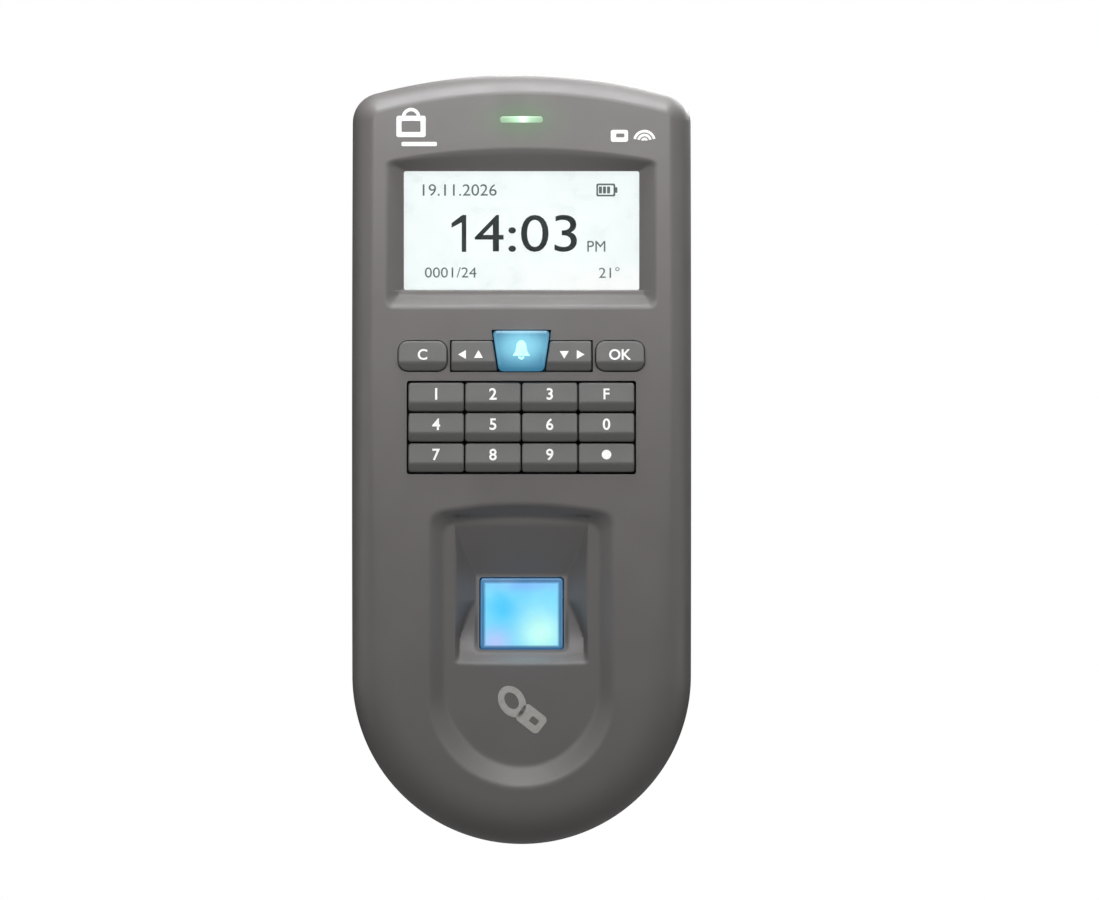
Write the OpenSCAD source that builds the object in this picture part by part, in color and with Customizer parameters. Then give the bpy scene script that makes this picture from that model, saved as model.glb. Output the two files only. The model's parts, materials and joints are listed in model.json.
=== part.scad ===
// Wall-mounted fingerprint terminal with a display, a keypad and a card reader.
// X runs to the viewer's right, Z up, and the wall is the plane Y = 0, so that the
// terminal reaches towards -Y. The origin is the centre of the wall plate's four
// corner screws. "Depth" below is the distance in front of the wall.

/* [Body] */
// Width of the case
body_w = 79; // [78:0.5:82]
// Height of the case
body_h = 180; // [178:1:186]
// Depth of the front face at mid height
face_depth = 38; // [37:0.5:40]
// Radius of the front face's curve, seen from the side
crown_r = 750; // [600:50:1200]
// Radius of the arched top edge
top_r = 132; // [120:1:160]
// Radius of the two top corners
corner_r = 7; // [6:0.5:8]
// Thickness of the case walls
wall = 2.2; // [2:0.1:2.4]
// Depth of the plane where the two covers meet
parting = 17; // [16:0.5:18]
// Width of the sloping band round the front face
band_w = 5.2; // [4.6:0.1:5.4]
// How far the band falls back from the front face
band_drop = 9; // [8:0.5:10]

/* [Display] */
// Width of the display's visible area
view_w = 54.7; // [50:0.1:56]
// Height of the display's visible area
view_h = 27.6; // [25:0.1:28]
// Height of the display's centre above the origin
view_z = 53.2; // [52:0.1:54]
// Depth of the display recess's floor
recess_floor = 31.5; // [31:0.1:32]

/* [Keys] */
// Distance between the columns of number keys
key_pitch_x = 13.1; // [12.6:0.1:13.4]
// Distance between the rows of number keys
key_pitch_z = 7; // [6.8:0.1:7.2]
// Gap between two neighbouring keys
key_gap = 0.5; // [0.4:0.05:0.8]
// Height of the middle row of number keys above the origin
key_rows_z = 7.4; // [7:0.1:8]
// Height of the function keys' centre above the origin
function_z = 23.9; // [23.8:0.1:24.5]
// How far a key travels when it is pressed
key_travel = 0.8; // [0.6:0.1:0.9]

/* [Finger rest] */
// Half the width of the finger dish
dish_half_w = 21.3; // [20:0.1:22]
// Height of the dish's top edge
dish_top = -10.2; // [-11:0.1:-10]
// Height of the centre of the dish's round lower end
dish_low = -55; // [-56:0.5:-54]
// Width of the sensor's glass
glass_w = 19.2; // [18:0.1:20]
// Height of the sensor's glass, along its slope
glass_h = 16.6; // [15:0.1:17]

/* [Wall plate] */
// Width between the wall screws
screw_pitch_x = 44; // [43:0.5:44]
// Height between the wall screws
screw_pitch_z = 112; // [110:0.5:112]
// Height between the two outlet-box screws
box_pitch_z = 83.5; // [83.3:0.1:83.5]
// Thickness of the wall plate
plate_t = 1.5; // [1.2:0.1:1.6]
// How far the terminal lifts to clear the plate's hooks
lift = 5.5; // [5:0.5:5.5]

/* [Hidden] */
$fn = 48;
half_w = body_w / 2;
top_z = body_h / 2;
low_z = half_w - top_z;
band_r = (band_w * band_w + band_drop * band_drop) / (2 * band_w);
band_angle = asin(band_drop / band_r);
clear = 0.3;

// ---- Outlines and solids made of rings ----

// Depth of the front face at a height z
function crown(z) = face_depth - z * z / (2 * crown_r);

// Right half of a tall outline with a round lower end, straight sides and an arched top,
// from its lowest point to its highest, inset by d.
// s = [half width, height of the round end's centre, height of the top, arch radius, corner radius]
function outline_half(s, d, steps) =
    let (w = s[0], low = s[1], arch_c = s[2] - s[3], cx = w - s[4],
         cz = arch_c + sqrt(pow(s[3] - s[4], 2) - cx * cx), turn = atan2(cz - arch_c, cx))
    concat(
        [for (i = [0 : steps[0] - 1]) let (a = -90 + 90 * i / steps[0])
            [(w - d) * cos(a), low + (w - d) * sin(a)]],
        [for (i = [0 : steps[1] - 1]) [w - d, low + (cz - low) * i / steps[1]]],
        [for (i = [0 : steps[2] - 1]) let (a = turn * i / steps[2])
            [cx + (s[4] - d) * cos(a), cz + (s[4] - d) * sin(a)]],
        [for (i = [0 : steps[3]]) let (a = turn + (90 - turn) * i / steps[3])
            [(s[3] - d) * cos(a), arch_c + (s[3] - d) * sin(a)]]);

// The whole outline, anticlockwise as seen from the front
function outline(s, d, steps = [20, 8, 5, 5]) =
    let (e = outline_half(s, d, steps), n = len(e))
    concat(e, [for (i = [n - 2 : -1 : 1]) [-e[i][0], e[i][1]]]);

case_shape = [half_w, low_z, top_z, top_r, corner_r];
dish_shape = [dish_half_w, dish_low, dish_top, 100, 5];

// An outline's points at one depth, and at a depth that follows the crown
function level(points, depth) = [for (p = points) [p[0], -depth, p[1]]];
function crowned(points, drop) = [for (p = points) [p[0], -(crown(p[1]) - drop), p[1]]];

// A closed solid through rings of points, listed from the wall side to the front
module ring_solid(rings) {
    n = len(rings[0]);
    top = n / 2;
    last = (len(rings) - 1) * n;
    sides = [for (k = [0 : len(rings) - 2], i = [0 : n - 1])
        let (j = (i + 1) % n, a = k * n + i, b = k * n + j)
        each [[a, a + n, b + n], [a, b + n, b]]];
    // Each cap is a ladder of strips between its left and right sides
    strips = [for (i = [1 : top - 2]) each [[i, n - i, n - i - 1], [i, n - i - 1, i + 1]]];
    ends = [[0, n - 1, 1], [top - 1, top + 1, top]];
    cap = concat(strips, ends);
    polyhedron(
        points = [for (r = rings) each r],
        faces = concat(sides, [for (f = cap) [f[0] + last, f[1] + last, f[2] + last]],
            [for (f = cap) [f[2], f[1], f[0]]]));
}

// Flat work parallel to the wall, between two depths
module slab(back, front) {
    translate([0, -back, 0]) rotate([90, 0, 0]) linear_extrude(front - back) children();
}

module at(x, z) {
    translate([x, z]) children();
}

module box2(x0, x1, z0, z1) {
    translate([x0, z0]) square([x1 - x0, z1 - z0]);
}

function rounded(w, h, r, n = 3) = [for (q = [0 : 3], i = [0 : n])
    let (a = 90 * q + 90 * i / n, sx = (q == 0 || q == 3) ? 1 : -1, sz = q < 2 ? 1 : -1)
    [sx * (w / 2 - r) + r * cos(a), sz * (h / 2 - r) + r * sin(a)]];

module rounded_box(x, z, w, h, r) {
    at(x, z) polygon(rounded(w, h, r));
}

// ---- Covers ----

case_screw_at = [[33, 78], [-33, 78], [22, -74], [-22, -74]];
board_screw_at = [[24, 66], [-24, 66], [24, -10.5], [-24, -10.5]];
keypad_screw_at = [[29.6, 13], [-29.6, 13], [20, -6.2], [-20, -6.2]];
rear_inset = 0.3;
rear_wall_back = 2.2;
rear_wall_front = 4.2;
board_back = 19;
board_front = 20.6;

// Rings across the sloping band, from the case's side up to the front face
function band_rings(extra, drop) = [for (i = [0 : 5]) let (a = band_angle * i / 5)
    crowned(outline(case_shape, extra + band_r * (1 - cos(a))), drop + band_drop - band_r * sin(a))];

module front_shell() {
    difference() {
        ring_solid(concat([level(outline(case_shape, 0), parting)], band_rings(0, 0)));
        ring_solid([
            level(outline(case_shape, wall), parting - 1),
            crowned(outline(case_shape, wall), band_drop + 1),
            crowned(outline(case_shape, wall + 1), band_drop - 3),
            crowned(outline(case_shape, 6.4), wall)]);
    }
}

// The block that the display recess is sunk in, seen from the side and run across the case
module display_block() {
    translate([-33.6, 0, 0]) rotate([90, 0, 90]) linear_extrude(67.2)
        polygon([[-29.6, 34], [-36.2, 34], [-33.2, 75], [-29.6, 75]]);
}

// Sloping sides from the front face down to the display's visible area
module display_recess() {
    mouth = 38;
    mouth_half_w = 33;
    mouth_corner_z = 70.6;
    mouth_arch = 6.9;
    arch_r = (mouth_half_w * mouth_half_w + mouth_arch * mouth_arch) / (2 * mouth_arch);
    arch_half = asin(mouth_half_w / arch_r);
    arch_c = mouth_corner_z + mouth_arch - arch_r;
    hull() {
        slab(recess_floor, recess_floor + 0.01) at(0, view_z) square([view_w, view_h], center = true);
        slab(mouth, mouth + 0.01) polygon(concat(
            [[mouth_half_w, 35.3], [-mouth_half_w, 35.3]],
            [for (i = [-4 : 4]) let (a = arch_half * i / 4) [arch_r * sin(a), arch_c + arch_r * cos(a)]]));
    }
    slab(30.5, 32) at(0, view_z) square([view_w, view_h], center = true);
    slab(29, 31) at(0, view_z) square([60.4, 33.4], center = true);
}

// Depth of the dish's floor, which slopes a little towards the wall as it goes down
function dish_floor(z) = 34.7 + (z + 14) * 0.0552;
dish_slope_w = 3.8;

module dish_cut() {
    over = 1.6;
    ring_solid([
        [for (p = outline(dish_shape, dish_slope_w, [12, 2, 3, 3])) [p[0], -dish_floor(p[1]), p[1]]],
        crowned(outline(dish_shape, -1.9, [12, 2, 3, 3]), -over)]);
}

module dish_pan() {
    thickness = 2;
    ring_solid([
        [for (p = outline(dish_shape, dish_slope_w - thickness, [12, 2, 3, 3]))
            [p[0], -(dish_floor(p[1]) - thickness), p[1]]],
        crowned(outline(dish_shape, -thickness, [12, 2, 3, 3]), 1.2)]);
}

// The finger well: four corners of its floor and of its rim, as [x, depth, z]
well_floor = [11.4, -26.4, 27.6, -45.2, 31.1];
well_rim = [15.3, -14.6, 34.67, -47.4, 32.86];
function well_corners(s) = [for (side = [-1, 1], k = [0, 1])
    [side * s[0], -s[2 + 2 * k], s[1 + 2 * k]]];

// The well, reaching a little past its rim, or grown by a wall's thickness
module well(grow, reach) {
    low = well_corners(well_floor);
    high = well_corners(well_rim);
    hull() for (i = [0 : 3]) {
        out = [sign(low[i][0]) * grow, 0, (i % 2 == 0 ? 1 : -1) * grow];
        translate(low[i] + out + [0, grow, 0]) cube(0.01, center = true);
        translate(low[i] + (high[i] - low[i]) * reach + out) cube(0.01, center = true);
    }
}

// Frame of the sensor's surface: X to the right, Y up the slope, Z out of the glass
sensor_mid = [0, -29.35, -35.8];
sensor_tilt = atan((well_floor[4] - well_floor[2]) / (well_floor[1] - well_floor[3]));
module sensor_frame() {
    translate(sensor_mid) rotate([90 - sensor_tilt, 0, 0]) children();
}

module block(x, y, z0, z1, cx = 0, cy = 0) {
    translate([cx - x / 2, cy - y / 2, z0]) cube([x, y, z1 - z0]);
}

sensor_ear_x = 16.4;

module number_opening() {
    at(0, key_rows_z) square([4 * key_pitch_x + 0.6, 3 * key_pitch_z + 0.6], center = true);
}

// Outlines of the five function keys
function_h = 6.8;
end_key_w = 11;
end_key_x = 22.8;
bell_low = 20.5;
bell_high = 29.7;
bell_half_low = 5.2;
bell_half_high = 6.6;
side_key_out = 16.2;
function end_key() = rounded(end_key_w, function_h, 2.2);
function bell_edge(z) = bell_half_low + (bell_half_high - bell_half_low) * (z - bell_low) / (bell_high - bell_low);
function side_key() = let (z0 = function_z - function_h / 2, z1 = function_z + function_h / 2)
    [[side_key_out, z0], [side_key_out, z1], [bell_edge(z1) + key_gap, z1], [bell_edge(z0) + key_gap, z0]];
function bell_key() = [[bell_half_low - 0.8, bell_low], [bell_half_low, bell_low + 0.8],
    [bell_half_high, bell_high - 1], [bell_half_high - 1, bell_high],
    [1 - bell_half_high, bell_high], [-bell_half_high, bell_high - 1],
    [-bell_half_low, bell_low + 0.8], [0.8 - bell_half_low, bell_low]];

module function_openings() {
    for (side = [-1, 1])
        at(side * end_key_x, function_z)
            polygon(rounded(end_key_w + 0.6, function_h + 0.6, 2.5));
    box2(-side_key_out - clear, side_key_out + clear, function_z - function_h / 2 - clear, function_z + function_h / 2 + clear);
    polygon([[bell_half_low + clear, bell_low - clear], [bell_half_high + clear, bell_high + clear],
        [-bell_half_high - clear, bell_high + clear], [-bell_half_low - clear, bell_low - clear]]);
}

led_z = 78.9;
led_w = 10;
led_h = 1.4;

module front_cover() {
    color([0.35, 0.34, 0.33]) difference() {
        union() {
            front_shell();
            display_block();
            dish_pan();
            well(2, 0.9);
            // Posts for the case screws, the keypad board, the card antenna and the sensor
            for (p = case_screw_at) slab(parting, 31.6) at(p[0], p[1]) circle(3.2);
            for (p = keypad_screw_at) slab(mat_back, 36.4) at(p[0], p[1]) circle(2);
            for (side = [-1, 1]) at_antenna_peg(side) {
                slab(antenna_front, 31) circle(2.2);
                slab(24.6, antenna_front) circle(1);
            }
            sensor_frame() for (side = [-1, 1])
                translate([side * sensor_ear_x, 0, -3]) cylinder(r = 2, h = 6);
        }
        display_recess();
        dish_cut();
        well(0, 1.1);
        sensor_frame() block(glass_w + 0.5, glass_h + 0.5, -8, 4);
        slab(32, 45) number_opening();
        slab(32, 45) function_openings();
        slab(28, 45) at(0, led_z) square([led_w + 0.2, led_h + 0.2], center = true);
        for (p = case_screw_at) slab(parting - 1, 27) at(p[0], p[1]) circle(1.5);
        for (p = keypad_screw_at) slab(29, 33.6) at(p[0], p[1]) circle(0.95);
        sensor_frame() for (side = [-1, 1])
            translate([side * sensor_ear_x, 0, -4]) cylinder(r = 0.95, h = 5.6);
    }
}

// Where things pass through the rear wall
bay = [-25, 25, -6, 38];
hook_x = 12;
hook_w = 8;
hook_low = 50;
tongue_top = 56.5;
tab_low = -78.5;
tab_half_w = 6;
retaining_depth = 8.5;
tamper_at = [0, 60];
tamper_r = 1.95;
sound_holes = 5;
speaker_z = -64;
wall_screw_at = concat([for (sx = [-1, 1], sz = [-1, 1]) [sx * screw_pitch_x / 2, sz * screw_pitch_z / 2]],
    [for (sz = [-1, 1]) [0, sz * box_pitch_z / 2]]);
head_pocket_r = 4.4;

module rear_cover() {
    rear_rim = 0.5;
    edge_r = 3;
    color([0.2, 0.2, 0.2]) difference() {
        union() {
            difference() {
                ring_solid(concat(
                    [for (i = [0 : 3]) let (a = 90 - 30 * i)
                        level(outline(case_shape, rear_inset + edge_r * (1 - cos(a))), rear_rim + edge_r * (1 - sin(a)))],
                    [level(outline(case_shape, rear_inset), parting)]));
                slab(rear_wall_front, parting + 1) polygon(outline(case_shape, rear_inset + wall));
                slab(0, rear_wall_back) polygon(outline(case_shape, 5));
            }
            // The lip that locates the front cover, open at the screw posts
            slab(parting - 2, parting + 1.6) difference() {
                polygon(outline(case_shape, wall + 0.25));
                polygon(outline(case_shape, wall + 1.4));
                for (p = case_screw_at) at(p[0], p[1]) circle(3.6);
            }
            for (p = case_screw_at) slab(rear_wall_back, parting) at(p[0], p[1]) circle(3.4);
            for (p = board_screw_at) slab(rear_wall_back, board_back) at(p[0], p[1]) circle(2.8);
            slab(rear_wall_back, 6) at(tamper_at[0], tamper_at[1]) circle(4);
            slab(rear_wall_back, 13) box2(-5, 5, -88.6, -85.4);
            // Ring that holds the speaker
            slab(rear_wall_back, 9) at(0, speaker_z) circle(11.8);
        }
        // Pockets for the heads of the wall screws, long enough for the lift
        for (p = wall_screw_at) slab(0, 5) at(p[0], p[1]) {
            circle(head_pocket_r);
            at(0, -lift) circle(head_pocket_r);
            box2(-head_pocket_r, head_pocket_r, -lift, 0);
        }
        // Groove for the seal
        slab(parting - 0.8, parting + 0.1) difference() {
            polygon(outline(case_shape, 0.9));
            polygon(outline(case_shape, 1.7));
        }
        slab(rear_wall_front, 10) at(0, speaker_z) circle(10.4);
        slab(0, 5) box2(bay[0], bay[1], bay[2], bay[3]);
        for (side = [-1, 1])
            slab(0, 5) at(side * hook_x, 0) box2(-hook_w / 2 - 0.4, hook_w / 2 + 0.4, 44.1, hook_low + plate_t + 0.1);
        slab(0, 5) box2(-tab_half_w - 0.4, tab_half_w + 0.4, -85, tab_low + plate_t + 0.4);
        slab(0, 7) at(tamper_at[0], tamper_at[1]) circle(tamper_r + 0.08);
        for (p = case_screw_at) {
            slab(0, 20) at(p[0], p[1]) circle(1.7);
            slab(0, 5.2) at(p[0], p[1]) circle(3);
        }
        for (p = board_screw_at) slab(8, 20) at(p[0], p[1]) circle(1.25);
        // Hole and seat for the retaining screw, which comes up from below
        translate([0, -retaining_depth, -92]) cylinder(r = 1.6, h = 10);
        translate([0, -retaining_depth, -92]) cylinder(r = 3.1, h = 4.2);
        // Sound holes, side by side through the lower edge
        for (side = [-1, 1], i = [0 : sound_holes - 1])
            translate([0, -retaining_depth, low_z]) rotate([0, side * (20 + 4.5 * i), 0])
                translate([0, 0, -half_w - 2]) cylinder(r = 0.7, h = 8);
    }
}

module case_seal() {
    color([0.08, 0.08, 0.08]) slab(parting - 0.8, parting) difference() {
        polygon(outline(case_shape, 0.95));
        polygon(outline(case_shape, 1.65));
    }
}

// A screw along the slab direction: head at the wall side, shank towards the front
module screw(head_back, head_front, tip, head_r, shank_r) {
    difference() {
        slab(head_back, head_front) circle(head_r);
        slab(head_back - 0.1, head_back + (head_front - head_back) * 0.55) {
            square([head_r * 1.1, 0.5], center = true);
            square([0.5, head_r * 1.1], center = true);
        }
    }
    slab(head_front, tip) circle(shank_r);
}

module case_screws() {
    color([0.6, 0.6, 0.62]) for (p = case_screw_at) translate([p[0], 0, p[1]]) screw(3.1, 5.2, 24, 2.75, 1.45);
}

// ---- Wall plate ----

module wall_plate() {
    plate_shape = [31, -41, 70, 400, 5];
    hole_r = 2.25;
    hook_depth = 6.2;
    tab_depth = 13;
    color([0.7, 0.71, 0.72]) difference() {
        union() {
            slab(0, plate_t) polygon(outline(plate_shape, 0, [18, 1, 4, 3]));
            slab(0, plate_t) box2(-tab_half_w, tab_half_w, tab_low, -70);
            slab(0, tab_depth) box2(-tab_half_w, tab_half_w, tab_low, tab_low + plate_t);
            for (side = [-1, 1]) {
                slab(0, hook_depth) at(side * hook_x, 0) box2(-hook_w / 2, hook_w / 2, hook_low, hook_low + plate_t);
                slab(hook_depth - plate_t, hook_depth) at(side * hook_x, 0)
                    box2(-hook_w / 2, hook_w / 2, hook_low, tongue_top);
            }
        }
        for (p = wall_screw_at) slab(-1, 2) at(p[0], p[1]) circle(hole_r);
        // The cables' way through
        slab(-1, 2) rounded_box(0, 14, 44, 40, 3);
        // Windows that the hooks are bent out of
        for (side = [-1, 1])
            slab(-1, 2) at(side * hook_x, 0) box2(-hook_w / 2, hook_w / 2, hook_low + plate_t, hook_low + 10);
        translate([0, -retaining_depth, tab_low - 1]) cylinder(r = 1.5, h = 4);
    }
}

module retaining_screw() {
    color([0.55, 0.55, 0.57]) translate([0, -retaining_depth, 0]) {
        difference() {
            translate([0, 0, -89.6]) cylinder(r = 2.75, h = 1.8);
            translate([0, 0, -90]) cylinder(r = 1.3, h = 1.4, $fn = 6);
        }
        translate([0, 0, -87.8]) cylinder(r = 1.42, h = 11.4);
    }
}

// ---- Display ----

module display_window() {
    color([0.85, 0.9, 0.92]) slab(29.8, 31) at(0, view_z) square([60, 33], center = true);
}

module lcd_panel() {
    color([0.86, 0.93, 0.95]) slab(26.8, 29.5) at(0, view_z) square([60.6, 36.6], center = true);
}

// The pressed steel frame round the glass, open in front over the visible area
module lcd_frame() {
    color([0.45, 0.46, 0.48]) difference() {
        slab(22.6, 29.5) at(0, view_z) square([63.4, 39], center = true);
        slab(22, 30) at(0, view_z) square([61.2, 37], center = true);
    }
}

module lcd_backlight() {
    color([0.95, 0.95, 0.9]) slab(23.2, 26.7) at(0, view_z) square([60.6, 36.6], center = true);
}

// A flat ribbon cable of even thickness along a path of [depth, height] points
module ribbon(path, width, x) {
    t = 0.3;
    n = len(path);
    function direction(i) = let (d = path[min(i + 1, n - 1)] - path[max(i - 1, 0)]) d / norm(d);
    side = [for (i = [0 : n - 1]) let (d = direction(i)) [-d[1], d[0]] * t / 2];
    edge = concat([for (i = [0 : n - 1]) path[i] + side[i]], [for (i = [n - 1 : -1 : 0]) path[i] - side[i]]);
    translate([x - width / 2, 0, 0]) rotate([90, 0, 90]) linear_extrude(width)
        polygon([for (p = edge) [-p[0], p[1]]]);
}

// Half an ellipse from one [depth, height] point to another, bulging by a given distance
function loop_path(a, b, bulge, n = 12) = [for (i = [0 : n])
    let (t = 180 * i / n, m = (a + b) / 2, h = (a - b) / 2) m + h * cos(t) + bulge * sin(t)];

module display_ribbon() {
    color([0.8, 0.55, 0.2]) ribbon(loop_path([25, 33.4], [21.6, 27.7], [2.5, -1]), 24, 0);
}

module keypad_ribbon() {
    color([0.8, 0.55, 0.2]) ribbon(loop_path([28.4, -4], [21.6, -4.6], [0, -7]), 14, 0);
}

module sensor_ribbon() {
    color([0.8, 0.55, 0.2]) ribbon(loop_path([5.2, -27], [17, -11.3], [-1.5, 2.5]), 10, 0);
}

// Clear bar that carries the status light to a slit near the top
module light_pipe() {
    color([0.75, 0.95, 0.8]) {
        slab(29.2, crown(led_z) + 0.15) at(0, led_z) square([led_w, led_h], center = true);
        slab(22.6, 29.2) at(0, led_z) square([led_w - 2, 3], center = true);
    }
}

module status_led() {
    color([0.5, 0.95, 0.55]) slab(board_front, 22.2) at(0, led_z) square([3.5, 2.8], center = true);
}

// ---- Keypad ----

mat_back = 30.2;
mat_front = 31.8;
stem_r = 2.2;
stem_back = 31.25;
cap_back = 34;

function number_key_at(column, row) = [(column - 1.5) * key_pitch_x, key_rows_z + (1 - row) * key_pitch_z];
number_keys_at = [for (row = [0 : 2], column = [0 : 3]) number_key_at(column, row)];
side_key_x = 11.4;
bell_z = 25.2;
function_keys_at = [[-end_key_x, function_z], [-side_key_x, function_z], [0, bell_z],
    [side_key_x, function_z], [end_key_x, function_z]];
all_keys_at = concat(number_keys_at, function_keys_at);

module keypad_mat() {
    color([0.16, 0.16, 0.17]) slab(mat_back, mat_front) difference() {
        box2(-29.4, 29.4, -4.8, 30.6);
        for (p = all_keys_at) at(p[0], p[1]) circle(2.9);
        for (p = keypad_screw_at) at(p[0], p[1]) circle(2.4);
        for (side = [-1, 1]) at(side * 4.4, bell_z) square([2.4, 2.6], center = true);
    }
}

module keypad_board() {
    color([0.1, 0.35, 0.22]) slab(28.6, mat_back) difference() {
        box2(-32, 32, -8.8, 31.4);
        for (p = keypad_screw_at) at(p[0], p[1]) circle(1.1);
    }
}

module key_contacts() {
    color([0.75, 0.6, 0.25]) for (p = all_keys_at) slab(mat_back, mat_back + 0.15) at(p[0], p[1]) circle(2.4);
}

module bell_leds() {
    color([0.6, 0.85, 1]) for (side = [-1, 1])
        slab(mat_back, 31) at(side * 4.4, bell_z) square([2, 2.2], center = true);
}

// A keycap over its round stem. Seen from the side, its face runs from the foot at its
// lower edge out to a ridge, and from there leans back to the brow at its upper edge.
// reach = how far the foot, the ridge and the brow stand out from the front face
module key_cap(stem_at, low, high, chin = 2, reach = [0.1, 1.6, 0.4]) {
    face = crown((low + high) / 2);
    under = (reach[1] - reach[0]) / chin;
    over = (reach[1] - reach[2]) / (high - low - chin);
    intersection() {
        slab(cap_back, face + 6) children();
        translate([-10, 0, 0]) rotate([90, 0, 90]) linear_extrude(20) polygon([
            [0, low - 1], [-(face + reach[0] - under), low - 1], [-(face + reach[1]), low + chin],
            [-(face + reach[2] - over), high + 1], [0, high + 1]]);
    }
    slab(stem_back, cap_back) at(stem_at[0], stem_at[1]) circle(stem_r);
}

module number_key(column, row) {
    p = number_key_at(column, row);
    h = key_pitch_z - key_gap;
    color([0.3, 0.29, 0.29]) translate([p[0], 0, 0]) key_cap([0, p[1]], p[1] - h / 2, p[1] + h / 2)
        at(0, p[1]) polygon(rounded(key_pitch_x - key_gap, h, 0.7, 2));
}

module end_key_cap(side) {
    color([0.3, 0.29, 0.29]) translate([side * end_key_x, 0, 0])
        key_cap([0, function_z], function_z - function_h / 2, function_z + function_h / 2)
            at(0, function_z) polygon(end_key());
}

module side_key_cap(side) {
    color([0.3, 0.29, 0.29]) translate([side * side_key_x, 0, 0])
        key_cap([0, function_z], function_z - function_h / 2, function_z + function_h / 2)
            polygon([for (p = side_key()) [side * (p[0] - side_key_x), p[1]]]);
}

module bell_cap() {
    color([0.35, 0.8, 1]) key_cap([0, bell_z], bell_low, bell_high, 1, [0.8, 1.9, 1.5]) polygon(bell_key());
}

// ---- Fingerprint sensor ----

module sensor_glass() {
    color([0.4, 0.8, 1]) sensor_frame() block(glass_w, glass_h, -6, 0.25);
}

module sensor_gasket() {
    color([0.1, 0.1, 0.1]) sensor_frame() difference() {
        block(glass_w + 3, glass_h + 3, -3.1, -2.45);
        block(glass_w + 0.1, glass_h + 0.1, -4, 0);
    }
}

// Box that shuts out stray light, with two ears for its screws and the glass in its mouth
module sensor_housing() {
    color([0.12, 0.12, 0.13]) sensor_frame() difference() {
        union() {
            block(28, 25, -20, -3.1);
            block(2 * sensor_ear_x + 4.6, 8, -5, -3.1);
        }
        block(24.8, 21.8, -21, -6.2);
        block(glass_w + 0.2, glass_h + 0.2, -7, 0);
        for (side = [-1, 1]) translate([side * sensor_ear_x, 0, -6]) cylinder(r = 1.1, h = 4);
    }
}

module sensor_camera() {
    color([0.05, 0.05, 0.06]) sensor_frame() {
        block(9, 9, -20, -16.5);
        translate([0, 0, -16.5]) cylinder(r = 3.4, h = 5);
    }
}

module sensor_leds() {
    color([0.5, 0.8, 1]) sensor_frame() for (sx = [-1, 1], sy = [-1, 1])
        block(1.8, 1.8, -20, -17.5, sx * 9, sy * 7.5);
}

module sensor_board() {
    color([0.1, 0.35, 0.22]) sensor_frame() block(28, 25, -21.6, -20);
}

// The small screws that hold the keypad board and the sensor to the front cover
module small_screws() {
    color([0.6, 0.6, 0.62]) {
        for (p = keypad_screw_at) translate([p[0], 0, p[1]]) screw(27.2, 28.6, 33.2, 1.8, 0.85);
        sensor_frame() for (side = [-1, 1])
            translate([side * sensor_ear_x, 0, 0]) rotate([-90, 0, 0]) screw(-6.4, -5, -0.4, 1.8, 0.85);
    }
}

// ---- Card antenna ----

coil_z = -67;
antenna_front = 26.2;

module at_antenna_peg(side) {
    translate([side * 5, 0, coil_z]) children();
}

module antenna_board() {
    color([0.1, 0.35, 0.22]) difference() {
        slab(25, antenna_front) difference() {
            at(0, coil_z) circle(17.2);
            for (p = case_screw_at) at(p[0], p[1]) circle(4);
        }
        for (side = [-1, 1]) at_antenna_peg(side) slab(24, 27) circle(1.1);
    }
}

module antenna_coil() {
    color([0.72, 0.42, 0.2]) for (turn = [0 : 3]) slab(antenna_front, 27) at(0, coil_z) difference() {
        circle(15.6 - 1.3 * turn);
        circle(14.8 - 1.3 * turn);
    }
}

// ---- Main board ----

module main_board() {
    color([0.08, 0.32, 0.2]) slab(board_back, board_front) difference() {
        union() {
            box2(-27, 27, -14, 72);
            box2(-8, 8, 71, 82);
        }
        for (p = board_screw_at) at(p[0], p[1]) circle(1.6);
    }
}

// These come from the front side, so their heads lie on the board
module board_screws() {
    color([0.6, 0.6, 0.62]) for (p = board_screw_at) {
        slab(board_front, board_front + 1.4) at(p[0], p[1]) circle(2.4);
        slab(10, board_front) at(p[0], p[1]) circle(1.2);
    }
}

module board_chips() {
    // [x, z, width, height]
    chips = [[12, 12, 14, 14], [-12, 46, 10, 12], [8, 48, 12, 8], [8, 62, 8, 8], [-14, 62, 7, 5], [-18, -4, 5, 6]];
    color([0.07, 0.07, 0.08]) for (c = chips)
        slab(board_front, board_front + 1.3) at(c[0], c[1]) square([c[2], c[3]], center = true);
}

module ribbon_sockets() {
    color([0.9, 0.88, 0.8]) {
        slab(board_front, 22.6) box2(-14, 14, 25.2, 27.2);
        slab(board_front, 22.6) box2(-9, 9, -4.3, -2.3);
        slab(17.2, board_back) box2(-7, 7, -12.3, -10.3);
    }
}

module capacitors() {
    color([0.15, 0.16, 0.3]) for (p = [[-17, 46], [-8, 46], [1, 46]])
        slab(10.5, board_back) at(p[0], p[1]) circle(3.5);
}

module backup_battery() {
    color([0.75, 0.75, 0.77]) slab(21.6, 24.8) at(-14, 12) circle(10);
}

module battery_holder() {
    color([0.09, 0.09, 0.1]) slab(board_front, 23.6) difference() {
        at(-14, 12) circle(11.6);
        at(-14, 12) circle(10.1);
    }
    color([0.09, 0.09, 0.1]) slab(board_front, 21.6) at(-14, 12) circle(10.6);
}

ways = 7;
way_pitch = 3.5;

module terminal_blocks() {
    x0 = -1.5;
    back = 9.5;
    color([0.13, 0.45, 0.25]) for (z = [15.2, 26.8]) difference() {
        slab(back, board_back) box2(x0, x0 + ways * way_pitch, z, z + 9.4);
        for (i = [0 : ways - 1]) {
            slab(back - 1, back + 6) at(x0 + (i + 0.5) * way_pitch, z + 2.6) square([2.5, 2.6], center = true);
            slab(back - 1, back + 1.2) at(x0 + (i + 0.5) * way_pitch, z + 6.8) circle(1.4);
        }
    }
}

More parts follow.
